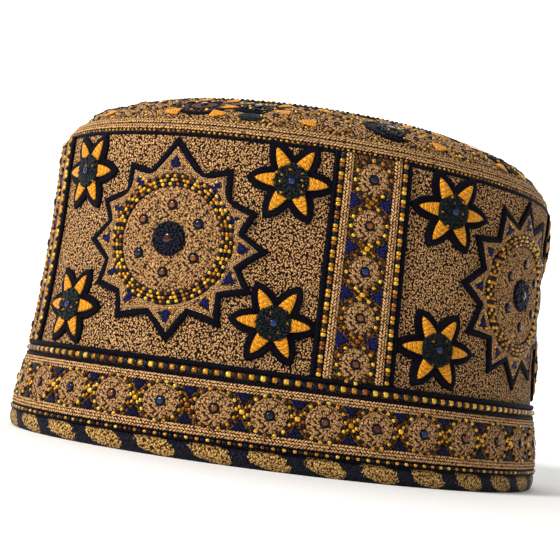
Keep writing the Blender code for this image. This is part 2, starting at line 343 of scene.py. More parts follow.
def wrapped(rows):
    """Rows with their first column repeated at the end."""
    return np.concatenate([rows, rows[:, :1]], axis=1)


def grid_uv(along, up):
    """Cloth coordinates of a grid, from those of its columns and its rows or the other way round."""
    return np.stack(np.broadcast_arrays(along, up), -1)


def facing_out(shape):
    """The shape with its faces turned outward."""
    corners = shape.points[shape.quads]
    halves = [corners[:, (0, 1, 2)], corners[:, (0, 2, 3)], shape.points[shape.tris]]
    volume = sum(np.einsum("ij,ij->", t[:, 0], np.cross(t[:, 1], t[:, 2])) for t in halves)
    if volume >= 0:
        return shape
    return Shape(shape.points, *(part[:, ::-1] for part in shape[1:]))


def cells_of(grid):
    """The four corners of each cell of a grid."""
    return np.stack([grid[:-1, :-1], grid[:-1, 1:], grid[1:, 1:], grid[1:, :-1]], 2)


def shell(rings, uv=None, joined=False):
    """A closed body through rings of points. The end rings meet, or each is closed by a fan."""
    rings = np.asarray(rings, float)
    count, sides = rings.shape[:2]
    if uv is None:
        uv = wrapped(rings[:, :, :2])
    index = np.arange(count * sides).reshape(count, sides)
    index = wrapped(closed(index) if joined else index)
    quads, quad_uv = cells_of(index).reshape(-1, 4), cells_of(uv).reshape(-1, 4, 2)
    points = rings.reshape(-1, 3)
    if joined:
        return facing_out(Shape(points, quads, quad_uv, np.zeros((0, 3), int), np.zeros((0, 3, 2))))
    points = np.concatenate([points, rings[0].mean(0)[None], rings[-1].mean(0)[None]])
    tris, tri_uv = [], []
    earlier, later = slice(None, -1), slice(1, None)
    for end, middle, first, second in ((0, 0, later, earlier), (-1, 1, earlier, later)):
        fan = [index[end, first], index[end, second], np.full(sides, count * sides + middle)]
        tris.append(np.stack(fan, -1))
        heart = np.repeat(uv[end, :-1].mean(0)[None], sides, 0)
        tri_uv.append(np.stack([uv[end, first], uv[end, second], heart], 1))
    return facing_out(Shape(points, quads, quad_uv, np.concatenate(tris), np.concatenate(tri_uv)))


def merged(shapes):
    """Several shapes as one."""
    start, parts = 0, []
    for shape in shapes:
        parts.append((shape.points, shape.quads + start, shape.quad_uv, shape.tris + start, shape.tri_uv))
        start += len(shape.points)
    return Shape(*(np.concatenate(columns) for columns in zip(*parts)))


def moved(shape, x=0.0, y=0.0, out=0.0, turn=0.0):
    """The flat shape turned about its middle, in degrees, and then moved."""
    points = np.column_stack([turned(shape.points[:, :2], turn), shape.points[:, 2]])
    return shape._replace(points=points + (x, y, out))


def laid(shape, turns, levels, outs=0.0, angles=0.0):
    """The flat shape laid on the cap at one or many places, each turned by an angle in degrees."""
    turns, levels, outs, angles = np.broadcast_arrays(np.atleast_1d(turns), levels, outs, angles)
    c, s = np.cos(np.radians(angles))[:, None], np.sin(np.radians(angles))[:, None]
    x, y, z = shape.points.T[:, None]
    along, up = c * x - s * y, s * x + c * y
    level = levels[:, None] + up
    turn = turns[:, None] + np.degrees(along / radius_at(level))
    count, size = len(turns), len(shape.points)
    starts = (np.arange(count) * size)[:, None, None]
    return Shape(
        place(turn, level, outs[:, None] + z).reshape(-1, 3),
        (shape.quads[None] + starts).reshape(-1, 4),
        np.tile(shape.quad_uv, (count, 1, 1)),
        (shape.tris[None] + starts).reshape(-1, 3),
        np.tile(shape.tri_uv, (count, 1, 1)),
    )


def laid_on_top(shape):
    """The flat shape over the crown's middle."""
    x, y, out = shape.points.T
    turns = np.degrees(np.arctan2(x, -y))
    return shape._replace(points=place(turns, TOP_LEVEL - np.hypot(x, y), out))


def spots_on(turn, level, spots):
    """Turns, levels, outs and angles of flat spots (x, y, out, angle) about a place on the cap."""
    spots = np.asarray(spots, float)
    levels = level + spots[:, 1]
    return turn + np.degrees(spots[:, 0] / radius_at(levels)), levels, spots[:, 2], spots[:, 3]


def girth_shell(levels, outs, run_level, start=0.0):
    """A body right round the cap through these levels, with its girth measured at run_level."""
    turns = even_turns(GIRTH_STEPS)
    rings = place(turns[None], levels[:, None], outs[:, None])
    run = np.radians(np.append(turns, 360.0) - start) * radius_at(run_level)
    return shell(rings, grid_uv(run[None], closed(levels)[:, None]), joined=True)


# Across, and the share of the height, over one domed line of stitches.
RIBBON_SECTION = np.array(
    [(-1.0, -0.3), (-0.97, 0.35), (-0.68, 0.8), (0.0, 1.0), (0.68, 0.8), (0.97, 0.35), (1.0, -0.3)]
)


def ribbon(path, width, height, base, looped=True):
    """A domed line of stitches along a flat path. Its coordinates are the length and the share across."""
    path = np.asarray(path, float)
    ahead = np.roll(path, -1, 0) - path
    behind = np.roll(ahead, 1, 0)
    lengths = np.hypot(*ahead.T)
    if not looped:
        ahead[-1], behind[0] = behind[-1], ahead[0]
    ahead = ahead / np.hypot(*ahead.T)[:, None]
    behind = behind / np.hypot(*behind.T)[:, None]
    tangent = ahead + behind
    tangent /= np.hypot(*tangent.T)[:, None]
    side = np.stack([-tangent[:, 1], tangent[:, 0]], -1)
    mitre = 1.0 / np.clip(np.einsum("ij,ij->i", tangent, ahead), 0.45, 1.0)
    across, rise = RIBBON_SECTION.T
    offset = side[:, None] * (mitre[:, None] * across[None] * width / 2)[:, :, None]
    out = np.broadcast_to(base + height * rise, (len(path), len(rise)))[:, :, None]
    rings = np.concatenate([path[:, None] + offset, out], -1)
    run = np.concatenate([[0.0], np.cumsum(lengths)])
    run = run if looped else run[:-1]
    return shell(rings, grid_uv(run[:, None], closed(across)[None]), joined=looped)


def girth_line(level, width, height, base):
    """A domed line of stitches right round the cap at one level."""
    turns = even_turns(GIRTH_STEPS)
    across, rise = RIBBON_SECTION.T
    points = place(turns[:, None], level + across[None] * width / 2, (base + height * rise)[None])
    run = np.radians(np.append(turns, 360.0)) * radius_at(level)
    return shell(points, grid_uv(run[:, None], closed(across)[None]), joined=True)


def dome(outline, heights, shares):
    """A raised patch: the outline repeated at shares of its size, at these heights."""
    outline = np.asarray(outline, float)
    middle = outline.mean(0)
    return shell([raised(middle + (outline - middle) * share, out) for share, out in zip(shares, heights)])


def oval(long, short, sides):
    angles = np.arange(sides) * 2 * math.pi / sides
    return np.stack([long * np.cos(angles), short * np.sin(angles)], -1)


def circle(radius, sides):
    return oval(radius, radius, sides)


def round_dome(long, short, base, height):
    """A round patch that swells in the middle."""
    heights = base + height * np.array((0.0, 0.45, 0.75, 0.95, 1.0))
    return dome(oval(long, short, 28), heights, (1.0, 0.985, 0.88, 0.6, 0.25))


def triangle_patch(points, base, height):
    """A small three-cornered satin patch."""
    points = np.array(points, float)
    following = np.roll(points, -1, 0)
    path = np.concatenate([points[:, None] * (1 - s) + following[:, None] * s for s in (0.0, 0.33, 0.66)], 1)
    return dome(path.reshape(-1, 2), (base, base + height * 0.8, base + height), (1.0, 0.86, 0.4))


def rounded_rod(sides, rounding, steps, size, lift=0.0, lying=False):
    """A short rod with rounded ends, upright or lying along x, as a flat shape of this size."""
    bpy.ops.object.select_all(action="DESELECT")
    tilt = math.pi / 2 if lying else 0.0
    bpy.ops.mesh.primitive_cylinder_add(
        vertices=sides, radius=0.5, depth=1.0, end_fill_type="TRIFAN", rotation=(0.0, tilt, 0.0)
    )
    rod = bpy.context.object
    bpy.ops.object.transform_apply(location=False, rotation=True, scale=False)
    bpy.ops.object.modifier_add(type="BEVEL")
    rounded = rod.modifiers[-1]
    rounded.width, rounded.segments = rounding, steps
    rounded.limit_method, rounded.angle_limit = "ANGLE", math.radians(75.0)
    bpy.ops.object.modifier_apply(modifier=rounded.name)
    bpy.ops.object.mode_set(mode="EDIT")
    bpy.ops.mesh.select_all(action="SELECT")
    bpy.ops.transform.resize(value=size)
    bpy.ops.transform.translate(value=(0.0, 0.0, lift))
    bpy.ops.object.mode_set(mode="OBJECT")
    return read_back(rod)


def read_back(made):
    """The modelled object as a flat shape; the object itself goes."""
    mesh = made.data
    points = np.array([vertex.co for vertex in mesh.vertices])
    faces = [tuple(face.vertices) for face in mesh.polygons]
    quads, tris = (np.array([face for face in faces if len(face) == corners]) for corners in (4, 3))
    bpy.data.objects.remove(made)
    bpy.data.meshes.remove(mesh)
    flat = points[:, :2]
    return Shape(points, quads, flat[quads], tris, flat[tris])


def bead(length, width, height, sides=8):
    """A barrel bead that lies along x."""
    return rounded_rod(sides, 0.17, 1, (length, width, height), lying=True)


def gem(radius, height):
    """A small polished stone, with a flat middle."""
    return rounded_rod(12, 0.27, 3, (2 * radius, 2 * radius, 1.4 * height), 0.3 * height)


def bezel(radius, out):
    """The dark thread ring round a stone."""
    return moved(ribbon(circle(radius, 18), 0.8, 0.35, 0.0), out=out)


def zigzag(tips, tip_inset, notch_inset, steps):
    """A star's outline through its tips and notches, each drawn in by an inset."""
    corners = []
    for row in tips:
        corners.append(polar(row.reach - tip_inset, row.angle))
        corners.append(polar(row.notch - notch_inset, row.notch_angle))
    corners = np.array(corners)[::-1]
    following = np.roll(corners, -1, 0)
    shares = (np.arange(steps) / steps)[None, :, None]
    return (corners[:, None] * (1 - shares) + following[:, None] * shares).reshape(-1, 2)


def even_tips():
    """The tips of a star as it is meant to be."""
    step = 360.0 / STAR_POINTS
    angles = 90.0 - step * np.arange(STAR_POINTS)
    return tuple(TipRow(angle, STAR_TIP, angle - step / 2, STAR_NOTCH) for angle in angles)


# Materials


class Value:
    """What a shader node gives; arithmetic with it makes further nodes."""

    def __init__(self, nodes, socket):
        self.nodes, self.socket = nodes, socket

    def __add__(self, other):
        return self.nodes.math("ADD", self, other)

    def __sub__(self, other):
        return self.nodes.math("SUBTRACT", self, other)

    def __rsub__(self, other):
        return self.nodes.math("SUBTRACT", other, self)

    def __mul__(self, other):
        return self.nodes.math("MULTIPLY", self, other)

    def __truediv__(self, other):
        return self.nodes.math("DIVIDE", self, other)

    def __pow__(self, other):
        return self.nodes.math("POWER", self, other)

    def __abs__(self):
        return self.nodes.math("ABSOLUTE", self)


class Nodes:
    """Short ways to add nodes to a tree and link them."""

    def __init__(self, tree):
        self.tree = tree

    def feed(self, socket, value):
        if isinstance(value, Value):
            self.tree.links.new(value.socket, socket)
        elif socket.type == "RGBA":
            socket.default_value = (*value, 1.0)
        else:
            socket.default_value = value

    def add(self, kind, given=(), **settings):
        """A node with its inputs, in order or by name or number, and its settings."""
        node = self.tree.nodes.new(kind)
        for name, value in settings.items():
            setattr(node, name, value)
        for key, value in given.items() if isinstance(given, dict) else enumerate(given):
            self.feed(node.inputs[key], value)
        return node

    def out(self, node, output=0):
        return Value(self, node.outputs[output])

    def math(self, operation, *values, clamp=False):
        return self.out(self.add("ShaderNodeMath", values, operation=operation, use_clamp=clamp))

    def vector(self, operation, *values):
        return self.out(self.add("ShaderNodeVectorMath", values, operation=operation))

    def scale(self, vector, factor):
        return self.out(self.add("ShaderNodeVectorMath", {0: vector, "Scale": factor}, operation="SCALE"))

    def length(self, vector):
        return self.out(self.add("ShaderNodeVectorMath", [vector], operation="LENGTH"), "Value")

    def span(self, *limits):
        """A value eased from between low and high to between two others."""
        return self.out(self.add("ShaderNodeMapRange", limits, interpolation_type="SMOOTHSTEP"))

    def mix(self, share, first, second):
        return self.out(self.add("ShaderNodeMix", {0: share, 6: first, 7: second}, data_type="RGBA"), 2)

    def blend(self, share, first, second):
        return self.out(self.add("ShaderNodeMix", {0: share, 2: first, 3: second}, data_type="FLOAT"))

    def split(self, vector):
        node = self.add("ShaderNodeSeparateXYZ", [vector])
        return self.out(node, 0), self.out(node, 1)

    def join(self, x, y):
        return self.out(self.add("ShaderNodeCombineXYZ", (x, y)))

    def noise(self, vector, scale, detail=2.0, output="Fac"):
        node = self.add("ShaderNodeTexNoise", {"Vector": vector, "Scale": scale, "Detail": detail})
        return self.out(node, output)

    def ramp(self, value, stops, step=False):
        """A colour for the value, from stops of position and colour."""
        node = self.add("ShaderNodeValToRGB", [value])
        elements = node.color_ramp.elements
        node.color_ramp.interpolation = "CONSTANT" if step else "LINEAR"
        for element, (position, colour) in zip(elements, (stops[0], stops[-1])):
            element.position, element.color = position, (*colour, 1.0)
        for position, colour in stops[1:-1]:
            elements.new(position).color = (*colour, 1.0)
        return self.out(node)

    def stitches(self, tree, **given):
        """The height and the chance value that a group of stitches gives."""
        node = self.add("ShaderNodeGroup", node_tree=tree)
        for name, value in given.items():
            self.feed(node.inputs[name], value)
        return self.out(node, "Height"), self.out(node, "Chance")

    def cloth(self):
        """The piece's cloth coordinates."""
        return self.out(self.add("ShaderNodeUVMap", uv_map="cloth"))

    def tint(self):
        return self.out(self.add("ShaderNodeAttribute", attribute_name="tint"), "Fac")


FLOAT, VECTOR = "NodeSocketFloat", "NodeSocketVector"


def stitch_group(name, build, **inputs):
    """A shader node group that gives each stitch's height and a chance value of its own."""
    tree = bpy.data.node_groups.new(name, "ShaderNodeTree")
    for socket, kind in inputs.items():
        tree.interface.new_socket(socket, in_out="INPUT", socket_type=kind)
    for socket in ("Height", "Chance"):
        tree.interface.new_socket(socket, in_out="OUTPUT", socket_type=FLOAT)
    nodes = Nodes(tree)
    given = nodes.add("NodeGroupInput")
    made = build(nodes, *(nodes.out(given, socket) for socket in inputs))
    nodes.add("NodeGroupOutput", made)
    return tree


def stitch_grain(nodes, phase, across, row):
    """One row of slanted stitches: phase counts the stitches, across runs from -1 to 1."""
    centred = nodes.math("FRACT", phase) * 2.0 - 1.0
    full = nodes.math("MULTIPLY", 1.0 - abs(centred) ** 2.4, 1.0 - abs(across) ** 2.6, clamp=True)
    seat = nodes.join(nodes.math("FLOOR", phase), row)
    white = nodes.add("ShaderNodeTexWhiteNoise", noise_dimensions="2D")
    nodes.feed(white.inputs["Vector"], seat)
    return full**0.8, nodes.out(white, "Value")


def knot_stitches(nodes, cloth, grain):
    """Dense knots of thread: short strokes that lean both ways, with gaps between them."""
    shift = nodes.vector("SUBTRACT", nodes.noise(cloth, 0.55, output="Color"), (0.5, 0.5, 0.5))
    base = nodes.vector("ADD", cloth, nodes.scale(shift, 1.1))
    heights, chances = [], []
    for lean, offset in ((0.65, 0.0), (-0.75, 31.7)):
        leaned = nodes.add("ShaderNodeVectorRotate", {"Vector": base, "Angle": lean}, rotation_type="Z_AXIS")
        stretched = nodes.vector("MULTIPLY", nodes.out(leaned), (1.25, 0.72, 1.0))
        shifted = nodes.vector("ADD", stretched, (offset, offset * 0.7, 0.0))
        cells = nodes.add("ShaderNodeTexVoronoi", voronoi_dimensions="2D", feature="F1")
        nodes.feed(cells.inputs["Vector"], nodes.scale(shifted, nodes.math("DIVIDE", 1.0, grain)))
        nodes.feed(cells.inputs["Scale"], 1.0)
        heights.append(nodes.math("MULTIPLY_ADD", nodes.out(cells, "Distance"), -1.95, 1.1, clamp=True))
        chances.append(nodes.split(nodes.out(cells, "Color"))[0])
    over = nodes.math("GREATER_THAN", *heights)
    return nodes.math("MAXIMUM", *heights), nodes.blend(over, chances[1], chances[0])


def rows_of(nodes, place_in):
    """Which row a place is in, and where across it from -1 to 1."""
    return nodes.math("FLOOR", place_in), nodes.math("FRACT", place_in) * 2.0 - 1.0


def chain_stitches(nodes, cloth, pitch, rows):
    """Rows of stitches that lean towards each other in turn, along a line."""
    along, across = nodes.split(cloth)
    row, within = rows_of(nodes, (across * 0.499 + 0.5) * rows)
    parity = nodes.math("MODULO", row, 2.0) * 2.0 - 1.0
    phase = along / pitch + within * parity * 0.42 + row * 0.5
    return nodes.stitches(GRAIN, Phase=phase, Across=within, Row=row)


def round_stitches(nodes, cloth, ring, pitch):
    """Rings of stitches about the middle of a roundel."""
    x, y = nodes.split(cloth)
    wobble = nodes.noise(cloth, 0.7) * 1.3 - 0.65
    row, within = rows_of(nodes, (nodes.length(nodes.join(x, y)) + wobble) / ring)
    count = nodes.math("ROUND", (row + 0.5) * ring * (2 * math.pi) / pitch)
    share = nodes.math("ARCTAN2", y, x) * (0.5 / math.pi) + 0.5
    phase = share * count + within * 0.35 + row * 0.37
    return nodes.stitches(GRAIN, Phase=phase, Across=within, Row=row)


GRAIN = stitch_group("Stitch grain", stitch_grain, Phase=FLOAT, Across=FLOAT, Row=FLOAT)
KNOTS = stitch_group("Knot stitches", knot_stitches, Cloth=VECTOR, Grain=FLOAT)
CHAIN = stitch_group("Chain stitches", chain_stitches, Cloth=VECTOR, Pitch=FLOAT, Rows=FLOAT)
ROUND = stitch_group("Round stitches", round_stitches, Cloth=VECTOR, Ring=FLOAT, Pitch=FLOAT)

# Tan thread ramp by tone, which rises with a stitch's height. The lowest stop is painted shade in the gaps
# between stitches. The dark stop lies on their low sides and is partly painted shade. The palest is the
# thread's own pale tone at their tops, with painted highlight added.
TAN_GAP_SHADE = (0.006, 0.003, 0.002)
TAN_DARK = (0.060, 0.025, 0.009)
TAN = (0.29, 0.129, 0.041)
TAN_PALE_AND_HIGHLIGHT = (0.80, 0.465, 0.195)
TAN_STOPS = ((0.0, TAN_GAP_SHADE), (0.25, TAN_DARK), (0.58, TAN), (1.0, TAN_PALE_AND_HIGHLIGHT))
# The darker ground's ramp starts from the same painted shade in the gaps.
GROUND_STOPS = (
    (0.0, TAN_GAP_SHADE), (0.35, TAN_DARK), (0.62, (0.20, 0.09, 0.02)), (0.85, TAN), (1.0, (0.55, 0.28, 0.04))
)
NAVY_STOPS = ((0.0, (0.001, 0.001, 0.001)), (0.5, (0.002, 0.002, 0.005)), (1.0, (0.010, 0.009, 0.024)))
GOLD_STOPS = (
    (0.0, (0.22, 0.04, 0.002)), (0.3, (0.58, 0.15, 0.003)),
    (0.6, (0.82, 0.29, 0.005)), (1.0, (0.94, 0.46, 0.010)),
)
# The hem's ramps by tone, which rises with a knot's height: their darkest stops are painted shade in the gaps
# between knots.
RIM_GOLD_STOPS = (
    (0.0, (0.02, 0.007, 0.002)), (0.3, (0.18, 0.07, 0.015)),
    (0.6, (0.50, 0.26, 0.06)), (1.0, (0.86, 0.62, 0.24)),
)
RIM_NAVY_STOPS = ((0.0, (0.001, 0.001, 0.002)), (0.6, (0.004, 0.004, 0.012)), (1.0, (0.02, 0.022, 0.05)))
GOLD_BEAD_STOPS = (
    (0.0, (0.18, 0.045, 0.004)), (0.25, (0.42, 0.16, 0.010)),
    (0.7, (0.68, 0.34, 0.020)), (1.0, (0.85, 0.52, 0.06)),
)
NAVY_BEAD_STOPS = (
    (0.0, (0.002, 0.002, 0.004)), (0.5, (0.004, 0.005, 0.022)),
    (0.8, (0.004, 0.013, 0.008)), (1.0, (0.03, 0.008, 0.010)),
)
STONE_STOPS = (
    (0.0, (0.008, 0.008, 0.045)), (0.2, (0.27, 0.062, 0.006)), (0.4, (0.005, 0.03, 0.16)),
    (0.6, (0.16, 0.04, 0.006)), (0.8, (0.10, 0.006, 0.006)),
)

RIM_PITCH_COUNT = 31
RIM_GOLD_SHARE = 0.67
RIM_SLANT = 0.046
RIM_START = 0.49
RIM_MIDDLE = 14.0
RIM_ROUNDING = 0.20


class Look(Nodes):
    """A material and its nodes."""

    def __init__(self, name, roughness, gloss=0.15, **shader):
        self.material = bpy.data.materials.new(name)
        self.material.use_nodes = True
        super().__init__(self.material.node_tree)
        self.shader = self.tree.nodes["Principled BSDF"].inputs
        self.shade({"Roughness": roughness, "Specular IOR Level": gloss, **shader})

    def shade(self, values):
        for name, value in values.items():
            self.feed(self.shader[name], value)

    def finish(self, colour, height=None, relief=0.0):
        """The material in this colour, with a relief of so many millimetres."""
        self.shade({"Base Color": colour})
        if height is not None:
            bump = self.add("ShaderNodeBump", {"Strength": 1.0, "Distance": relief * MM, "Height": height})
            self.shade({"Normal": self.out(bump)})
        return self.material

    def threads(self, height, own, stops, relief, lift):
        """The material of stitches: painted shade in the gaps, thread, and pale tips with painted highlight,
        each stitch a little its own.
        """
        fibre = self.noise(self.cloth(), 5.5, 1.0)
        tone = fibre * 0.3 + own * 0.34 + height * 1.1 + lift
        return self.finish(self.ramp(tone, stops), fibre * 0.12 + height, relief)

    def satin(self, along, across, pitch, wander):
        """Fine threads laid side by side: a height that ripples along, and its slow changes."""
        drift = self.noise(self.join(along, across), 0.8)
        wave = self.math("SINE", (drift * wander + along / pitch) * (2 * math.pi))
        return wave * 0.5 + 0.5, drift


def knot_material():
    """The cap's ground outside, and its plain cotton lining where tint is 1."""
    look = Look("tan_knots", 0.82)
    cloth = look.cloth()
    height, own = look.stitches(KNOTS, Cloth=cloth, Grain=0.9)
    # The tone rises with each knot's height, so the gaps get painted shade and the tops painted highlight.
    # The rest of the spread is each knot's own tone and a slow drift.
    tone = own * 0.42 + height * 2.0 - 0.84 + look.noise(cloth, 0.05) * 0.2 - 0.1
    weave = look.out(look.add("ShaderNodeTexChecker", {"Vector": cloth, "Scale": 1.6}), "Fac")
    lining = look.mix(weave, (0.42, 0.33, 0.21), (0.34, 0.26, 0.16))
    inside = look.tint()
    colour = look.mix(inside, look.ramp(tone, TAN_STOPS), lining)
    return look.finish(colour, look.blend(inside, height, weave * 0.3), 0.4)


def chain_material():
    """Corded braid: chain stitches roughened by knots."""
    look = Look("tan_chain", 0.8)
    cloth = look.cloth()
    chain, chain_own = look.stitches(CHAIN, Cloth=cloth, Pitch=1.15, Rows=3.0)
    squeezed = look.vector("MULTIPLY", cloth, (1.0, 1.3, 1.0))
    knots, knots_own = look.stitches(KNOTS, Cloth=squeezed, Grain=0.9)
    height = look.math("MULTIPLY_ADD", look.blend(0.4, chain, knots), 2.2, -0.62, clamp=True)
    return look.threads(height, look.blend(0.4, chain_own, knots_own), TAN_STOPS, 0.35, -0.36)


def roundel_material():
    """Knots laid in rings."""
    look = Look("tan_roundel", 0.8)
    cloth = look.cloth()
    rounds, _ = look.stitches(ROUND, Cloth=cloth, Ring=1.3, Pitch=1.5)
    knots, own = look.stitches(KNOTS, Cloth=cloth, Grain=0.86)
    return look.threads(knots + rounds * 0.35 - 0.12, own, TAN_STOPS, 0.6, -0.33)


def tan_ground_material():
    """The darker stitched ground between the roundels, with threads of gold and brown."""
    look = Look("tan_ground", 0.8)
    knots, own = look.stitches(KNOTS, Cloth=look.cloth(), Grain=1.0)
    return look.threads(knots, own, GROUND_STOPS, 0.6, -0.53)


def navy_material():
    look = Look("navy_satin", 0.6, 0.05)
    threads, drift = look.satin(*look.split(look.cloth()), 0.5, 1.2)
    return look.finish(look.ramp(drift * 0.5 + threads * 0.5, NAVY_STOPS), threads, 0.14)


def gold_material():
    """Orange-gold satin; the cloth coordinates of a petal run out from the flower's middle."""
    look = Look("gold_satin", 0.42, 0.25)
    along, across = look.split(look.cloth())
    slanted = abs(across) * 0.55 + along
    threads, drift = look.satin(slanted, across, 0.9, 2.2)
    speck = look.noise(look.join(slanted, across * 0.5), 2.6)
    # The tone dips in the troughs between the satin threads: painted shade, over specks and slow drift in the
    # thread's own colour.
    tone = speck * 1.2 + drift * 0.4 + threads * 0.75 - 0.55
    return look.finish(look.ramp(tone, GOLD_STOPS), threads, 0.3)


def lumpy_material(name, deep, full):
    """Lumpy knots in one colour, near black in the gaps between them: painted shade."""
    look = Look(name, 0.5)
    height, own = look.stitches(KNOTS, Cloth=look.cloth(), Grain=1.0)
    tone = own * 0.35 + height * 1.4 - 0.64
    colour = look.ramp(tone, ((0.0, (0.001, 0.001, 0.004)), (0.4, deep), (1.0, full)))
    return look.finish(colour, height, 0.6)


def ground_material(name, deep, full):
    """The dark stitched ground under a patch's beads, darker where its stitches sit low: painted shade."""
    look = Look(name, 0.7)
    height, _ = look.stitches(ROUND, Cloth=look.cloth(), Ring=1.15, Pitch=1.2)
    return look.finish(look.mix(height, deep, full), height, 0.3)


def bead_material(name, stops, roughness, metallic, gloss):
    coat = {"Metallic": metallic, "Coat Weight": gloss / 3, "Coat Roughness": 0.15}
    look = Look(name, roughness, gloss, **coat)
    return look.finish(look.ramp(look.tint(), stops))


def stone_material():
    """Polished stones, darker towards their edge: painted shade."""
    look = Look("stone", 0.16, 0.35, **{"Coat Weight": 0.35, "Coat Roughness": 0.05})
    # Painted shade: each stone's colour fades to near black towards its rim.
    edge = look.span(look.length(look.cloth()), 0.45, 1.15, 0.0, 0.92)
    return look.finish(look.mix(edge, look.ramp(look.tint(), STONE_STOPS, step=True), (0.004, 0.003, 0.003)))


def rim_material():
    """The hem's knots, in slanting gold and navy patches with ragged edges."""
    look = Look("rim_knots", 0.7)
    cloth = look.cloth()
    along, down = look.split(cloth)
    girth = 2 * math.pi * radius_at(HEM_LEVEL)
    ragged = look.noise(cloth, 0.9, 3.0) * 0.3 - 0.15
    count = along * (RIM_PITCH_COUNT / girth) + down * -RIM_SLANT + ragged - RIM_START
    rounded = abs((down - RIM_MIDDLE) * 0.25) ** 2.0 * RIM_ROUNDING
    from_middle = abs(look.math("FRACT", count) - 0.5)
    gold = look.math("LESS_THAN", from_middle + rounded, RIM_GOLD_SHARE / 2)
    height, own = look.stitches(KNOTS, Cloth=cloth, Grain=0.9)
    # Tone rises with each knot's height: painted shade in the gaps, over each knot's own tone.
    tone = own * 0.4 + height * 1.1 - 0.26
    colour = look.mix(gold, look.ramp(tone, RIM_NAVY_STOPS), look.ramp(tone, RIM_GOLD_STOPS))
    return look.finish(colour, height, 0.5)


LOOKS = {
    "tan knots": knot_material(),
    "tan chain": chain_material(),
    "tan roundel": roundel_material(),
    "tan ground": tan_ground_material(),
    "navy satin": navy_material(),
    "gold satin": gold_material(),
    "blue satin": lumpy_material("blue_satin", (0.002, 0.003, 0.06), (0.011, 0.020, 0.33)),
    "deep blue satin": lumpy_material("deep_blue_satin", (0.001, 0.001, 0.010), (0.009, 0.012, 0.17)),
    "green satin": lumpy_material("green_satin", (0.002, 0.006, 0.004), (0.010, 0.050, 0.030)),
    "green ground": ground_material("green_ground", (0.001, 0.002, 0.002), (0.004, 0.012, 0.008)),
    "dark ground": ground_material("dark_ground", (0.001, 0.001, 0.001), (0.012, 0.009, 0.016)),
    "wine ground": ground_material("wine_ground", (0.010, 0.003, 0.004), (0.16, 0.07, 0.045)),
    "rim knots": rim_material(),
    "gold bead": bead_material("gold_bead", GOLD_BEAD_STOPS, 0.3, 0.45, 0.35),
    "navy bead": bead_material("navy_bead", NAVY_BEAD_STOPS, 0.35, 0.0, 0.15),
    "stone": stone_material(),
}


# Pieces

BELT_BEAD = bead(1.85, 2.0, 1.5)
SMALL_BELT_BEAD = bead(1.25, 1.1, 1.1, 6)
SEAM_BEAD = bead(0.8, 0.75, 0.75, 6)
RING_BEAD = bead(1.28, 1.25, 1.25)
CROSS_BEAD = bead(1.8, 1.8, 1.5)
COLUMN_BEAD = bead(1.35, 1.8, 1.4)
HEART_BEAD = bead(1.15, 1.0, 1.0, 6)
FINE_BEAD = bead(1.05, 0.85, 0.85, 6)
SPECK_BEAD = bead(0.95, 0.65, 0.65, 6)
STONE = gem(1.24, 0.75)
LARGE_STONE = gem(1.7, 0.9)


class Piece:
    """Gathers laid shapes into one mesh with its looks."""

    def __init__(self, name, slot, *nodes):
        self.name, self.slot, self.nodes = name, slot, nodes
        self.points, self.faces, self.uv, self.tints = [], [], [], []
        self.look_of, self.looks, self.count = [], [], 0

    def add(self, shape, look, tint=0.0):
        if look not in self.looks:
            self.looks.append(look)
        faces = (shape.quads + self.count).tolist() + (shape.tris + self.count).tolist()
        self.points.append(shape.points)
        self.faces += faces
        self.uv += [shape.quad_uv.reshape(-1, 2), shape.tri_uv.reshape(-1, 2)]
        tint = np.asarray(tint, float)
        if tint.ndim and len(tint) != len(shape.points):
            tint = np.repeat(tint, len(shape.points) // len(tint))
        self.tints.append(np.broadcast_to(tint, len(shape.points)))
        self.look_of += [self.looks.index(look)] * len(faces)
        self.count += len(shape.points)

    def lay(self, parts, turn, level):
        """Adds flat shapes with their looks at one place on the cap."""
        for shape, look in parts:
            self.add(laid(shape, turn, level), look)

    def add_lines(self, lines, base):
        for line in lines:
            self.add(girth_line(line.level, line.width, line.height, base), line.look)

    def finish(self):
        mesh = bpy.data.meshes.new(self.name)
        mesh.from_pydata(np.concatenate(self.points).tolist(), [], self.faces)
        layer = mesh.uv_layers.new(name="cloth")
        layer.data.foreach_set("uv", np.concatenate(self.uv).astype(np.float32).ravel())
        tint = mesh.attributes.new("tint", "FLOAT", "POINT")
        tint.data.foreach_set("value", np.concatenate(self.tints).astype(np.float32))
        for look in self.looks:
            mesh.materials.append(LOOKS[look])
        mesh.polygons.foreach_set("material_index", self.look_of)
        mesh.polygons.foreach_set("use_smooth", [True] * len(self.faces))
        mesh.update()
        made = bpy.data.objects.new(self.name, mesh)
        bpy.context.scene.collection.objects.link(made)
        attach(made, "root")
        if self.nodes:
            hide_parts(*self.nodes)


class Stones(Piece):
    """The cut stones of one part of the cap."""

    def __init__(self, name):
        super().__init__(f"{name}_stones", "stone")

    def put(self, turn, level, out, kind, x=0.0, y=0.0, shape=STONE):
        self.add(laid(shape, *spots_on(turn, level, [(x, y, out, 0.0)])), "stone", kind)


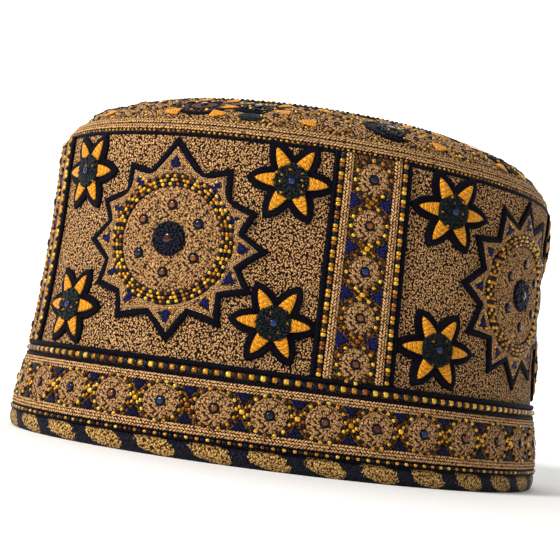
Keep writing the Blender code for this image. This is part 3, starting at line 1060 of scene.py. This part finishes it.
class Beads:
    """A set of gold beads and a set of dark ones, each its own piece."""

    def __init__(self, name):
        self.gold = Piece(f"{name}_gold_beads", "gold_bead")
        self.navy = Piece(f"{name}_navy_beads", "navy_bead")

    def add(self, shape, turn, level, spots, golden, tints=None):
        """Beads at spots about a place; golden says which of them are gold."""
        spots = np.asarray(spots, float)
        golden = np.broadcast_to(golden, len(spots))
        tints = chance.random(len(spots)) if tints is None else tints
        for piece, look, chosen in ((self.gold, "gold bead", golden), (self.navy, "navy bead", ~golden)):
            if chosen.any():
                piece.add(laid(shape, *spots_on(turn, level, spots[chosen])), look, tints[chosen])

    def round_the_cap(self, shape, level, count, out):
        """A line of beads right round, gold and dark in turn."""
        for piece, look, first in ((self.gold, "gold bead", 0), (self.navy, "navy bead", 1)):
            turns = even_turns(count)[first::2]
            piece.add(laid(shape, turns, level, out), look, chance.random(len(turns)))

    def finish(self):
        self.gold.finish()
        self.navy.finish()


def bead_cluster(radius, inner, count, out):
    """Spots of seed beads crowded in a disc, with room in the middle for a stone."""
    order = np.arange(count) + 0.5
    reach = np.sqrt(inner**2 + (radius**2 - inner**2) * order / count) + chance.uniform(-0.2, 0.2, count)
    angles = GOLDEN_ANGLE * order + chance.uniform(-0.12, 0.12, count)
    outs = out + chance.uniform(-0.12, 0.18, count)
    leans = chance.uniform(0.0, 180.0, count)
    return np.stack([reach * np.cos(angles), reach * np.sin(angles), outs, leans], -1)


def bead_ring(long, short, count, out):
    """Spots of beads on an oval ring, each lying along it."""
    angles = (np.arange(count) + 0.5) * 2 * math.pi / count
    x, y = long * np.cos(angles), short * np.sin(angles)
    lean = np.degrees(np.arctan2(short * np.cos(angles), -long * np.sin(angles)))
    return np.stack([x, y, np.full(count, out), lean], -1)


def every(count, step, first=0):
    """Which of so many beads in a row is one of every few."""
    return np.arange(count) % step == first


def add_cross(beads, turn, level, x, arm, lean):
    """A round bead with four small ones leaning away from it."""
    beads.add(CROSS_BEAD, turn, level, [(x, 0.0, GROUND + 0.5, 0.0)], True)
    ends = [(sx, sy) for sx in (1, -1) for sy in (1, -1)]
    arms = [(x + sx * arm[0], sy * arm[1], GROUND + 0.35, sx * sy * lean) for sx, sy in ends]
    beads.add(HEART_BEAD, turn, level, arms, True)


def wall_cloth():
    """The drum's wall, with its plain lining."""
    piece = Piece("wall_cloth", "tan_stitching", "side_band")
    outer = [np.arange(CLOTH_FOOT, SHOULDER_FOOT, 4.0), np.arange(SHOULDER_FOOT, SEAM_LEVEL - 0.2, 1.0)]
    outer = np.concatenate([*outer, [SEAM_LEVEL - 0.15]])
    inner = outer[::-1][::2]
    inner = np.append(inner, CLOTH_FOOT) if inner[-1] != CLOTH_FOOT else inner
    outs = np.concatenate([np.zeros(len(outer)), np.full(len(inner), -CLOTH)])
    inside = np.repeat(outs < 0, GIRTH_STEPS).astype(float)
    piece.add(girth_shell(np.concatenate([outer, inner]), outs, STAR_LEVEL, 180.0), "tan knots", inside)
    piece.finish()


def crown_cloth():
    """The domed top. Its cloth coordinates are flat ones about the crown's middle."""
    piece = Piece("crown_cloth", "tan_stitching", "crown")
    outer = np.append(np.arange(SEAM_LEVEL + 0.15, TOP_LEVEL - 2.0, 2.5), TOP_LEVEL - 1.5)
    levels = np.concatenate([outer[::-1], outer])
    outs = np.repeat((0.0, -CLOTH), len(outer))
    turns = even_turns(GIRTH_STEPS)
    rings = place(turns[None], levels[:, None], outs[:, None])
    flat = polar((TOP_LEVEL - levels)[:, None], turns - 90.0)
    inside = np.append(np.repeat(outs < 0, GIRTH_STEPS), [0, 1]).astype(float)
    piece.add(shell(rings, wrapped(flat)), "tan knots", inside)
    piece.finish()


def hem_roll():
    """The rolled hem that the cap stands on."""
    piece = Piece("hem_roll", "navy_stitching", "rim_binding")
    outline = np.array(HEM_OUTLINE)
    turns = even_turns(HEM_STEPS)
    angle = oval_angle(turns)
    radius = radius_at(HEM_LEVEL) + outline[:, :1]
    height = np.broadcast_to(outline[:, 1:], (len(outline), HEM_STEPS))
    rings = np.stack([radius * OVAL_LONG * np.sin(angle), -radius * OVAL_SHORT * np.cos(angle), height], -1)
    around = np.concatenate([[0.0], np.cumsum(np.hypot(*(np.roll(outline, -1, 0) - outline).T))])
    run = np.radians(np.append(turns, 360.0)) * radius_at(HEM_LEVEL)
    piece.add(shell(rings * MM, grid_uv(run[None], around[::-1][:, None]), joined=True), "rim knots")
    piece.finish()


def seam():
    """Two rows of braid on the shoulder, with navy lines and a line of fine beads on each side."""
    piece = Piece("seam_braids", "braid_stitching", "seam_braid")
    piece.add_lines(SEAM_LINES[:2], 0.1)
    piece.add_lines(SEAM_LINES[2:], 0.05)
    piece.finish()
    beads = Beads("seam")
    for level in SEAM_BEAD_LEVELS:
        beads.round_the_cap(SEAM_BEAD, level, SEAM_BEADS, 0.2)
    beads.finish()


def belt():
    """The belt above the hem: lines, braids, a row of roundels, and the beads between and round them."""
    piece = Piece("belt", "braid_stitching", "base_border")
    section = [(BORDER_FOOT, 0.15), (BORDER_FOOT + 0.6, GROUND * 0.8)]
    section += [(level, GROUND) for level in (12.0, 18.0, 24.0)]
    section += [(BORDER_TOP - 0.6, GROUND * 0.8), (BORDER_TOP, 0.15), (20.0, 0.05)]
    piece.add(girth_shell(*np.array(section).T, BORDER_LEVEL), "tan ground")
    piece.add_lines(BORDER_LINES, GROUND - 0.15)

    pitch = 360.0 / BORDER_ROUNDELS
    half = math.radians(pitch / 2) * radius_at(BORDER_LEVEL)
    disc = round_dome(*BORDER_DISC, GROUND - 0.1, 0.9)
    corners = [[(half - 3.2, side * 6.5), (half + 3.2, side * 6.5), (half, side * 2.1)] for side in (1, -1)]
    wedges = merged(triangle_patch(three, GROUND - 0.1, 0.5) for three in corners)
    cells = (np.arange(BORDER_ROUNDELS) + 0.5) * pitch
    parts = ((disc, "tan roundel"), (bezel(1.6, GROUND + 0.6), "dark ground"), (wedges, "deep blue satin"))
    piece.lay(parts, cells, BORDER_LEVEL)
    piece.finish()

    beads = Beads("belt")
    stones = Stones("belt")
    ring = bead_ring(*BORDER_RING, BORDER_RING_BEADS, GROUND + 0.35)
    for i, turn in enumerate(cells):
        beads.add(RING_BEAD, turn, BORDER_LEVEL, ring, every(BORDER_RING_BEADS, 2))
        add_cross(beads, turn, BORDER_LEVEL, half, (1.1, 1.55), 55.0)
        stones.put(turn, BORDER_LEVEL, GROUND + 0.8, BELT_STONES[i % len(BELT_STONES)])
    beads.round_the_cap(BELT_BEAD, BEAD_BELT_LEVEL, BEAD_BELT_COUNT, GROUND + 0.25)
    beads.round_the_cap(SMALL_BELT_BEAD, SMALL_BELT_LEVEL, SMALL_BELT_COUNT, GROUND + 0.3)
    beads.finish()
    stones.finish()


def strips():
    """Upright columns of roundels between the panels."""
    middle, height = (STRIP_FOOT + STRIP_TOP) / 2, STRIP_TOP - STRIP_FOOT
    ups = np.linspace(-height / 2, height / 2, STRIP_STEPS)
    top = [(share, GROUND) for share in (-0.95, -0.5, 0.0, 0.5, 0.95)]
    foot = [(share, 0.05) for share in (1.0, 0.5, 0.0, -0.5)]
    section = [(-1.0, 0.05), (-1.0, 0.6), *top, (1.0, 0.6), *foot]
    ground = shell([[(across * STRIP_HALF, up, out) for across, out in section] for up in ups])
    path = np.stack([np.zeros(STRIP_STEPS), ups], -1)
    lines = (
        (ribbon(path, 2.1, 0.8, GROUND - 0.25, looped=False), STRIP_NAVY, "navy satin"),
        (ribbon(path, 0.7, 0.35, GROUND - 0.1, looped=False), STRIP_CHAIN + 1.8, "navy satin"),
        (ribbon(path, 3.3, 0.8, GROUND - 0.15, looped=False), STRIP_CHAIN, "tan chain"),
    )
    disc = round_dome(STRIP_DISC, STRIP_DISC, GROUND - 0.1, 0.9)
    roundel = ((disc, "tan roundel"), (bezel(1.55, GROUND + 0.6), "dark ground"))
    wedge = triangle_patch([(7.3, -3.1), (7.3, 3.1), (2.7, 0.0)], GROUND - 0.1, 0.6)
    wedges = [(moved(wedge, turn=spin), "blue satin") for spin in (0.0, 180.0)]
    columns = np.arange(-height / 2 + 1.0, height / 2 - 0.4, STRIP_BEAD_PITCH)
    ring = bead_ring(STRIP_RING, STRIP_RING, STRIP_RING_BEADS, GROUND + 0.35)
    beads = Beads("strip")
    stones = Stones("strip")
    for side, turn in STRIP_TURNS.items():
        lean = STRIP_LEANS.get(side, STRAIGHT)

        def aside(x, up):
            share = up / height + 0.5
            return x * (1.0 - lean.taper * share) + lean.foot + lean.bend * share**2

        def leaned(shape):
            x, up, out = shape.points.T
            return shape._replace(points=np.stack([aside(x, up), up, out], -1))

        def turn_at(level):
            return turn + math.degrees(aside(0.0, level - middle) / radius_at(level))

        piece = Piece(f"strip_{side}_work", "braid_stitching", f"strip_{side}")
        piece.lay([(leaned(ground), "tan ground")], turn, middle)
        for sign in (1, -1):
            piece.lay([(leaned(moved(line, sign * at)), look) for line, at, look in lines], turn, middle)
            spots = [(aside(sign * STRIP_BEADS, up), up, GROUND + 0.3, 90.0) for up in columns]
            beads.add(COLUMN_BEAD, turn, middle, spots, ~every(len(columns), 3, 1 if sign > 0 else 2))
        for i in range(STRIP_ROUNDELS):
            level = STRIP_LOWEST + i * STRIP_PITCH
            piece.lay(roundel, turn_at(level), level)
            beads.add(RING_BEAD, turn_at(level), level, ring, every(STRIP_RING_BEADS, 2))
            stones.put(turn_at(level), level, GROUND + 0.8, STRIP_STONES[i])
            if i < STRIP_ROUNDELS - 1:
                between = level + STRIP_PITCH / 2
                piece.lay(wedges, turn_at(between), between)
                add_cross(beads, turn_at(between), between, 0.0, (1.5, 1.15), 35.0)
        piece.finish()
    beads.finish()
    stones.finish()


def star_body(tips):
    """The star's ground, its lines, its disc of rosettes and its blue tips, drawn flat."""
    edge = zigzag(tips, 1.6, 1.0, 4)
    reach = np.hypot(*edge.T)[:, None]
    rings = []
    # Each ring lies between the star's outline, by a share, and a circle.
    for share, radius, out in (
        (1.0, 0.0, 0.05),
        (1.0, 0.0, GROUND),
        (0.5, 23.4, GROUND + 0.1),
        (0.0, 23.4, GROUND + 0.1),
        (0.0, 18.4, GROUND + 0.1),
        (0.0, 17.6, GROUND + 0.5),
        (0.0, 14.0, GROUND + 0.6),
        (0.0, 9.0, GROUND + 0.6),
        (0.0, 3.0, GROUND + 0.6),
    ):
        rings.append(raised(edge / reach * (reach * share + radius * (1 - share)), out))
    outline = ribbon(zigzag(tips, STAR_LINE * 0.92, STAR_LINE * 0.5, 3), STAR_LINE, 0.9, GROUND - 0.35)
    parts = [(shell(rings), "tan roundel"), (outline, "navy satin")]
    for tip_inset, notch_inset, width in ((6.0, 2.9, 1.7), (9.6, 4.4, 1.1)):
        line = ribbon(zigzag(tips, tip_inset, notch_inset, 3), width, 0.55, GROUND - 0.05)
        parts.append((line, "tan chain"))
    parts.append((ribbon(circle(20.6, 72), 5.2, 0.12, GROUND + 0.05), "dark ground"))
    parts.append((ribbon(circle(23.9, 72), 1.6, 0.55, GROUND), "tan chain"))
    rosette = round_dome(5.0, 5.0, GROUND + 0.4, 0.8)
    parts += [(moved(rosette, x, y), "tan roundel") for x, y in stone_circle()]
    parts.append((round_dome(STAR_HEART, STAR_HEART, GROUND + 0.5, 0.8), "dark ground"))
    for row in tips:
        foot, top = row.reach - STAR_BLUE.foot, row.reach - STAR_BLUE.top
        corners = [(foot, -STAR_BLUE.half), (foot, STAR_BLUE.half), (top, 0.0)]
        parts.append((moved(triangle_patch(corners, GROUND + 0.1, 0.45), turn=row.angle), "blue satin"))
    return parts


def stone_circle():
    """Where the six stones of a star's disc sit."""
    return polar(STAR_STONES, 90.0 + 60.0 * np.arange(6))


def star_tip_spots(tips):
    """Spots of the fine beads that edge the blue patch in each tip."""
    spots = []
    for row in tips:
        near = row.reach - STAR_BLUE.foot
        for along, aside in TIP_BEADS:
            for side in (1, -1) if aside else (1,):
                x, y = turned(np.array([near + along, side * aside]), row.angle)
                lean = 90.0 if along < 0 else -side * 25.0
                spots.append((x, y, GROUND + 0.3, row.angle + lean))
    return np.array(spots)


def stars():
    """The four stars, with their rings of beads and their stones."""
    beads = Beads("star")
    stones = Stones("star")
    for panel, where in STAR_PLACES.items():
        turn, level = PANEL_TURNS[panel] + where.shift, where.level
        tips = UNEVEN_TIPS if where.uneven else even_tips()
        piece = Piece(f"star_{panel}_work", "star_stitching", f"star_{panel}")
        piece.lay(star_body(tips), turn, level)
        settings = [(moved(bezel(1.6, GROUND + 1.05), x, y), "dark ground") for x, y in stone_circle()]
        piece.lay(settings, turn, level)
        piece.finish()
        for number, radius in enumerate(STAR_BEAD_ROWS):
            count = 2 * int(math.pi * radius / STAR_BEAD_PITCH)
            spots = bead_ring(radius, radius, count, GROUND + 0.45)
            golden = ~every(count, 3) if number == 1 else every(count, 2, number % 2)
            beads.add(RING_BEAD, turn, level, spots, golden)
        heart = bead_cluster(STAR_HEART - 0.5, 1.7, 84, GROUND + 1.3)
        beads.add(HEART_BEAD, turn, level, heart, False, 0.55 * chance.random(len(heart)))
        fringe = star_tip_spots(tips)
        beads.add(FINE_BEAD, turn, level, fringe, chance.random(len(fringe)) < 0.62)
        flecks = bead_cluster(STAR_DISC - 1.0, STAR_HEART + 0.8, 70, GROUND + 0.45)
        beads.add(FINE_BEAD, turn, level, flecks, chance.random(len(flecks)) < 0.6)
        for (x, y), kind in zip(stone_circle(), STAR_STONE_KINDS):
            stones.put(turn, level, GROUND + 1.2, kind, x, y)
        stones.put(turn, level, GROUND + 1.3, STONE_RED, shape=LARGE_STONE)
    beads.finish()
    stones.finish()


def petal_shape():
    """One gold petal, with its foot towards the flower's middle."""
    along = np.linspace(0.0, 1.0, 9)
    width = PETAL_HALF * (1 - along) ** 0.74 * (1 + 0.42 * along)
    x = PETAL_FOOT + (PETAL_TIP - PETAL_FOOT) * along
    outline = np.concatenate([np.stack([x, -width], -1), np.stack([x, width], -1)[-2::-1]])
    return dome(outline, (1.1, 1.55, 1.8, 1.95), (1.0, 0.94, 0.7, 0.3))


def flower_outline():
    """A flower's outline: six slightly convex petals from notch to notch."""
    far, near = np.array([FLOWER_TIP, 0.0]), polar(FLOWER_NOTCH, 30.0)
    shares = np.arange(PETAL_STEPS)[:, None] / PETAL_STEPS
    swell = 4 * shares * (1 - shares) * PETAL_SWELL
    half = far * (1 - shares) + near * shares + swell * np.array([0.55, 0.83])
    petal = np.concatenate([np.concatenate([[near], half[:0:-1]]) * (1, -1), half])
    return np.concatenate([turned(petal, 60.0 * i) for i in range(6)])


def flower_body():
    """The flower's navy ground, its gold petals and its green disc, drawn flat."""
    path = flower_outline()
    reach = np.hypot(*path.T)[:, None]
    tipness = np.clip((reach - FLOWER_NOTCH) / (FLOWER_TIP - FLOWER_NOTCH), 0, 1)
    rings, across = [], []
    for inset, out in ((0.0, 0.05), (0.05, 0.75), (0.45, 1.15), (1.0, 1.25), (1.7, 1.2)):
        rings.append(raised(path / reach * (reach - inset * (1.15 + 0.9 * tipness)), out))
        across.append(inset)
    for radius in (6.4, 3.0):
        rings.append(raised(path / reach * radius, 1.2))
        across.append(3.0)
    run = np.concatenate([[0.0], np.cumsum(np.hypot(*(np.roll(path, -1, 0) - path).T))])
    petal = petal_shape()
    parts = [(shell(rings, grid_uv(run[None], np.array(across)[:, None])), "navy satin")]
    parts += [(moved(petal, turn=60.0 * i), "gold satin") for i in range(6)]
    parts.append((round_dome(FLOWER_DISC, FLOWER_DISC, 1.3, 0.6), "green ground"))
    return parts


def flowers():
    """The sixteen flowers round the stars, with their beads and stones."""
    beads = Beads("flower")
    stones = Stones("flower")
    body = flower_body()
    places = [
        (f"{panel}_{row}_{side}", panel_turn + shift, row_level)
        for panel, panel_turn in PANEL_TURNS.items()
        for row, row_level in FLOWER_LEVELS.items()
        for side, shift in ((1, -FLOWER_TURN), (2, FLOWER_TURN))
    ]
    for name, turn, level in places:
        nudge = FLOWER_NUDGES.get(name, IN_PLACE)
        turn, level = turn + nudge.turn, level + nudge.level
        piece = Piece(f"flower_{name}_work", "gold_satin", f"flower_{name}")
        wide = (nudge.wide, 1.0, 1.0)
        piece.lay([(shape._replace(points=shape.points * wide), look) for shape, look in body], turn, level)
        piece.lay([(bezel(1.5, 2.0), "dark ground")], turn, level)
        piece.finish()
        add_green_cluster(beads, turn, level)
        stones.put(turn, level, 2.15, STONE_BLUE)
    beads.finish()
    stones.finish()


def add_green_cluster(beads, turn, level):
    """The crowded dark green and black beads of a flower's middle, with a few gold ones."""
    spots = bead_cluster(FLOWER_DISC - 0.3, 1.6, FLOWER_BEADS, 1.9)
    golden = chance.random(FLOWER_BEADS) < 0.06
    green = 0.72 + 0.14 * chance.random(FLOWER_BEADS)
    gold = 0.35 * chance.random(FLOWER_BEADS)
    tints = np.where(golden, gold, np.where(chance.random(FLOWER_BEADS) < 0.5, 0.1, green))
    beads.add(FINE_BEAD, turn, level, spots, golden, tints)


def flattened(shape, size, share):
    """The shape at another size, with its relief lowered."""
    return shape._replace(points=shape.points * (size, size, share), quad_uv=shape.quad_uv * size)


def eye_parts(long, short, fill):
    """An oval with a navy outline, a dark or wine middle and a small eye in it."""
    return (
        (ribbon(oval(long - 0.9, short - 0.9, 36), 1.8, 0.5, 0.05), "navy satin"),
        (round_dome(long - 1.6, short - 1.6, 0.02, 0.45), fill),
        (ribbon(oval(long * 0.52, short * 0.52, 30), 1.0, 0.35, 0.4), "navy satin"),
    )


def crown_work():
    """The crown's flat embroidery: a ring of eyes, flowers, roundels and petals, and a star in the middle."""
    piece = Piece("crown_embroidery", "gold_satin")
    beads = Beads("crown")
    stones = Stones("crown")
    leaf = flattened(moved(petal_shape(), -9.0), 0.85, 0.45)
    eye, disc = eye_parts(*CROWN_EYE, "wine ground"), eye_parts(*CROWN_DISC, "dark ground")
    green = eye_parts(*CROWN_GREEN, "green ground")
    green_leaf = [(round_dome(*CROWN_GREEN_LEAF, 0.02, 0.6), "green satin")]
    knob = round_dome(CROWN_ROUNDEL, CROWN_ROUNDEL, 0.02, 0.75)
    roundel = [(knob, "tan roundel"), (bezel(0.9, 0.7), "dark ground")]
    edging = bead_ring(CROWN_ROUNDEL + 0.7, CROWN_ROUNDEL + 0.7, 20, 0.3)
    eye_beads = bead_ring(CROWN_EYE[0] - 2.4, CROWN_EYE[1] - 2.4, 26, 0.55)

    def put_leaf(turn, depth, spin):
        piece.lay([(moved(leaf, turn=spin), "gold satin")], turn, SEAM_LEVEL + depth)

    for panel_turn in PANEL_TURNS.values():
        level = SEAM_LEVEL + CROWN_EYE_DEPTH
        piece.lay(eye, panel_turn, level)
        beads.add(FINE_BEAD, panel_turn, level, eye_beads, every(26, 3))
        stones.put(panel_turn, level, 0.6, STONE_RED)
        turn, level = panel_turn + CROWN_GREEN_TURN, SEAM_LEVEL + CROWN_GREEN_DEPTH
        piece.lay(green, turn, level)
        piece.lay(green_leaf, turn, SEAM_LEVEL + CROWN_GREEN_LEAF_DEPTH)
        crowd = bead_cluster(CROWN_GREEN[1] - 1.6, 1.6, 50, 0.6) * (1.5, 1.0, 1.0, 1.0)
        shades = 0.7 + 0.16 * chance.random(len(crowd))
        beads.add(FINE_BEAD, turn, level, crowd, chance.random(len(crowd)) < 0.12, shades)
        stones.put(turn, level, 0.7, STONE_BLUE)
        for shift, spin in ((-6.6, 0.0), (6.6, 180.0)):
            put_leaf(turn + shift, CROWN_GREEN_DEPTH - 2.4, spin)
        turn, level = panel_turn + 45.0 + CROWN_DISC_SHIFT, SEAM_LEVEL + CROWN_DISC_DEPTH
        piece.lay(disc, turn, level)
        crowd = bead_cluster(CROWN_DISC[1] - 2.2, 1.6, 70, 0.55)
        beads.add(HEART_BEAD, turn, level, crowd, chance.random(len(crowd)) < 0.08)
        stones.put(turn, level, 0.75, STONE_BLUE)
        for sign in (1, -1):
            for shift, depth, spin in CROWN_LEAVES:
                put_leaf(panel_turn + sign * shift, depth, spin if sign > 0 else 180.0 - spin)
            for shift, depth in CROWN_ROUNDELS if sign > 0 else (*CROWN_ROUNDELS, CROWN_LEFT_ROUNDEL):
                turn = panel_turn + sign * shift
                piece.lay(roundel, turn, SEAM_LEVEL + depth)
                beads.add(FINE_BEAD, turn, SEAM_LEVEL + depth, edging, every(20, 2))
    lines = [Line("navy satin", SEAM_LEVEL + depth, width, 0.5) for depth, width in CROWN_LINES]
    piece.add_lines(lines, 0.03)
    beads.round_the_cap(RING_BEAD, SEAM_LEVEL + CROWN_BEADS_DEPTH, CROWN_BEADS, 0.35)
    for shape, look in star_body(even_tips()):
        piece.add(laid_on_top(flattened(shape, CROWN_STAR_SIZE, 0.55)), look)
    for radius in STAR_BEAD_ROWS:
        count = 2 * int(math.pi * radius / STAR_BEAD_PITCH)
        radius *= CROWN_STAR_SIZE
        ring = bead_ring(radius, radius, count, GROUND * 0.6 + 0.25)
        around = [laid_on_top(moved(FINE_BEAD, *spot)) for spot in ring]
        beads.gold.add(merged(around[::2]), "gold bead", chance.random(count // 2))
        beads.navy.add(merged(around[1::2]), "navy bead", chance.random(count // 2))
    stones.add(laid_on_top(moved(LARGE_STONE, out=0.6)), "stone", STONE_RED)
    add_specks(beads.gold, "gold bead", CROWN_SPECKS, 0.4)
    add_specks(beads.navy, "navy bead", CROWN_SPECKS // 2, 0.0)
    for made in (piece, beads, stones):
        made.finish()


def add_specks(piece, look, count, palest):
    """Fine beads strewn over the crown's ground."""
    turns, depths, leans, tints = chance.random((4, count))
    levels = SEAM_LEVEL + 0.8 + depths * (CROWN_LINES[0].depth - 2.0)
    strewn = laid(SPECK_BEAD, turns * 360.0, levels, 0.0, leans * 180.0)
    piece.add(strewn, look, palest + (1.0 - palest) * tints)


# Stage, lights and camera

CAMERA_TURN = 16.29
CAMERA_REACH = 0.502
CAMERA_HEIGHT = 0.0336
CAMERA_HEADING = 15.47
CAMERA_PITCH = 4.142
CAMERA_ROLL = 7.586
CAMERA_LENS = 79.66
SENSOR_WIDTH = 36.0
FLOOR_NEAR, FLOOR_FAR, FLOOR_HALF = -3.0, 1.6, 4.0
BACKDROP_BEND, BACKDROP_TOP = 0.8, 4.0
WORLD_LIGHT = 0.3
AIM = (0.0, 0.0, 0.07)
WHITE = (1.0, 1.0, 1.0)


def linked(name, data):
    """A new object in the scene."""
    made = bpy.data.objects.new(name, data)
    bpy.context.scene.collection.objects.link(made)
    return made


def camera():
    data = bpy.data.cameras.new("camera")
    data.lens, data.sensor_width = CAMERA_LENS, SENSOR_WIDTH
    data.clip_start, data.clip_end = 0.01, 20.0
    made = linked("camera", data)
    heading, pitch, roll = (math.radians(v) for v in (CAMERA_HEADING, CAMERA_PITCH, CAMERA_ROLL))
    level = math.cos(pitch)
    ahead = Vector((math.sin(heading) * level, math.cos(heading) * level, math.sin(pitch)))
    level_right = ahead.cross(Vector((0, 0, 1))).normalized()
    level_up = level_right.cross(ahead)
    right = level_right * math.cos(roll) + level_up * math.sin(roll)
    up = level_up * math.cos(roll) - level_right * math.sin(roll)
    facing = Matrix((right, up, -ahead)).transposed().to_4x4()
    turn = math.radians(CAMERA_TURN)
    spot = (-math.sin(turn) * CAMERA_REACH, -math.cos(turn) * CAMERA_REACH, CAMERA_HEIGHT)
    made.matrix_world = Matrix.Translation(spot) @ facing
    bpy.context.scene.camera = made


def area_light(name, spot, size, power, colour):
    data = bpy.data.lights.new(name, "AREA")
    data.shape, data.size, data.energy, data.color = "DISK", size, power, colour
    made = linked(name, data)
    made.location = spot
    made.rotation_euler = (Vector(AIM) - Vector(spot)).to_track_quat("-Z", "Y").to_euler()


def floor():
    """A pale floor that rises far behind the cap and glows more the further it is from it."""
    rows = [(FLOOR_NEAR, 0.0), (FLOOR_FAR, 0.0)]
    for a in np.radians(np.arange(10, 91, 10)):
        rows.append((FLOOR_FAR + BACKDROP_BEND * math.sin(a), BACKDROP_BEND * (1 - math.cos(a))))
    rows.append((FLOOR_FAR + BACKDROP_BEND, BACKDROP_TOP))
    heading = math.radians(CAMERA_HEADING)
    points = []
    for reach, height in rows:
        for side in (-FLOOR_HALF, FLOOR_HALF):
            x = reach * math.sin(heading) + side * math.cos(heading)
            y = reach * math.cos(heading) - side * math.sin(heading)
            points.append((x, y, height))
    faces = [(2 * i, 2 * i + 1, 2 * i + 3, 2 * i + 2) for i in range(len(rows) - 1)]
    mesh = bpy.data.meshes.new("floor")
    mesh.from_pydata(points, [], faces)
    mesh.polygons.foreach_set("use_smooth", [True] * len(faces))
    pale = Look("pale_floor", 0.9, 0.1)
    spot = pale.out(pale.add("ShaderNodeTexCoord"), "Object")
    far = pale.span(pale.length(spot), 0.2, 1.2, 0.04, 0.85)
    glow = pale.mix(far, (0.0, 0.0, 0.0), WHITE)
    pale.shade({"Emission Color": glow, "Emission Strength": 1.0})
    mesh.materials.append(pale.finish((0.93, 0.93, 0.93)))
    linked("floor", mesh)


def stage():
    """The floor, and soft light from the upper left."""
    floor()
    world = bpy.data.worlds.new("studio")
    world.use_nodes = True
    background = world.node_tree.nodes["Background"].inputs
    background["Color"].default_value = (*WHITE, 1.0)
    background["Strength"].default_value = WORLD_LIGHT
    bpy.context.scene.world = world
    area_light("key", (-1.0, -0.5, 0.82), 0.4, 18.0, (1.0, 0.97, 0.93))
    area_light("top", (0.1, 0.4, 1.2), 0.8, 3.0, WHITE)
    bpy.context.scene.view_settings.view_transform = "Standard"


wall_cloth()
crown_cloth()
crown_work()
hem_roll()
seam()
belt()
strips()
stars()
flowers()
stage()
camera()
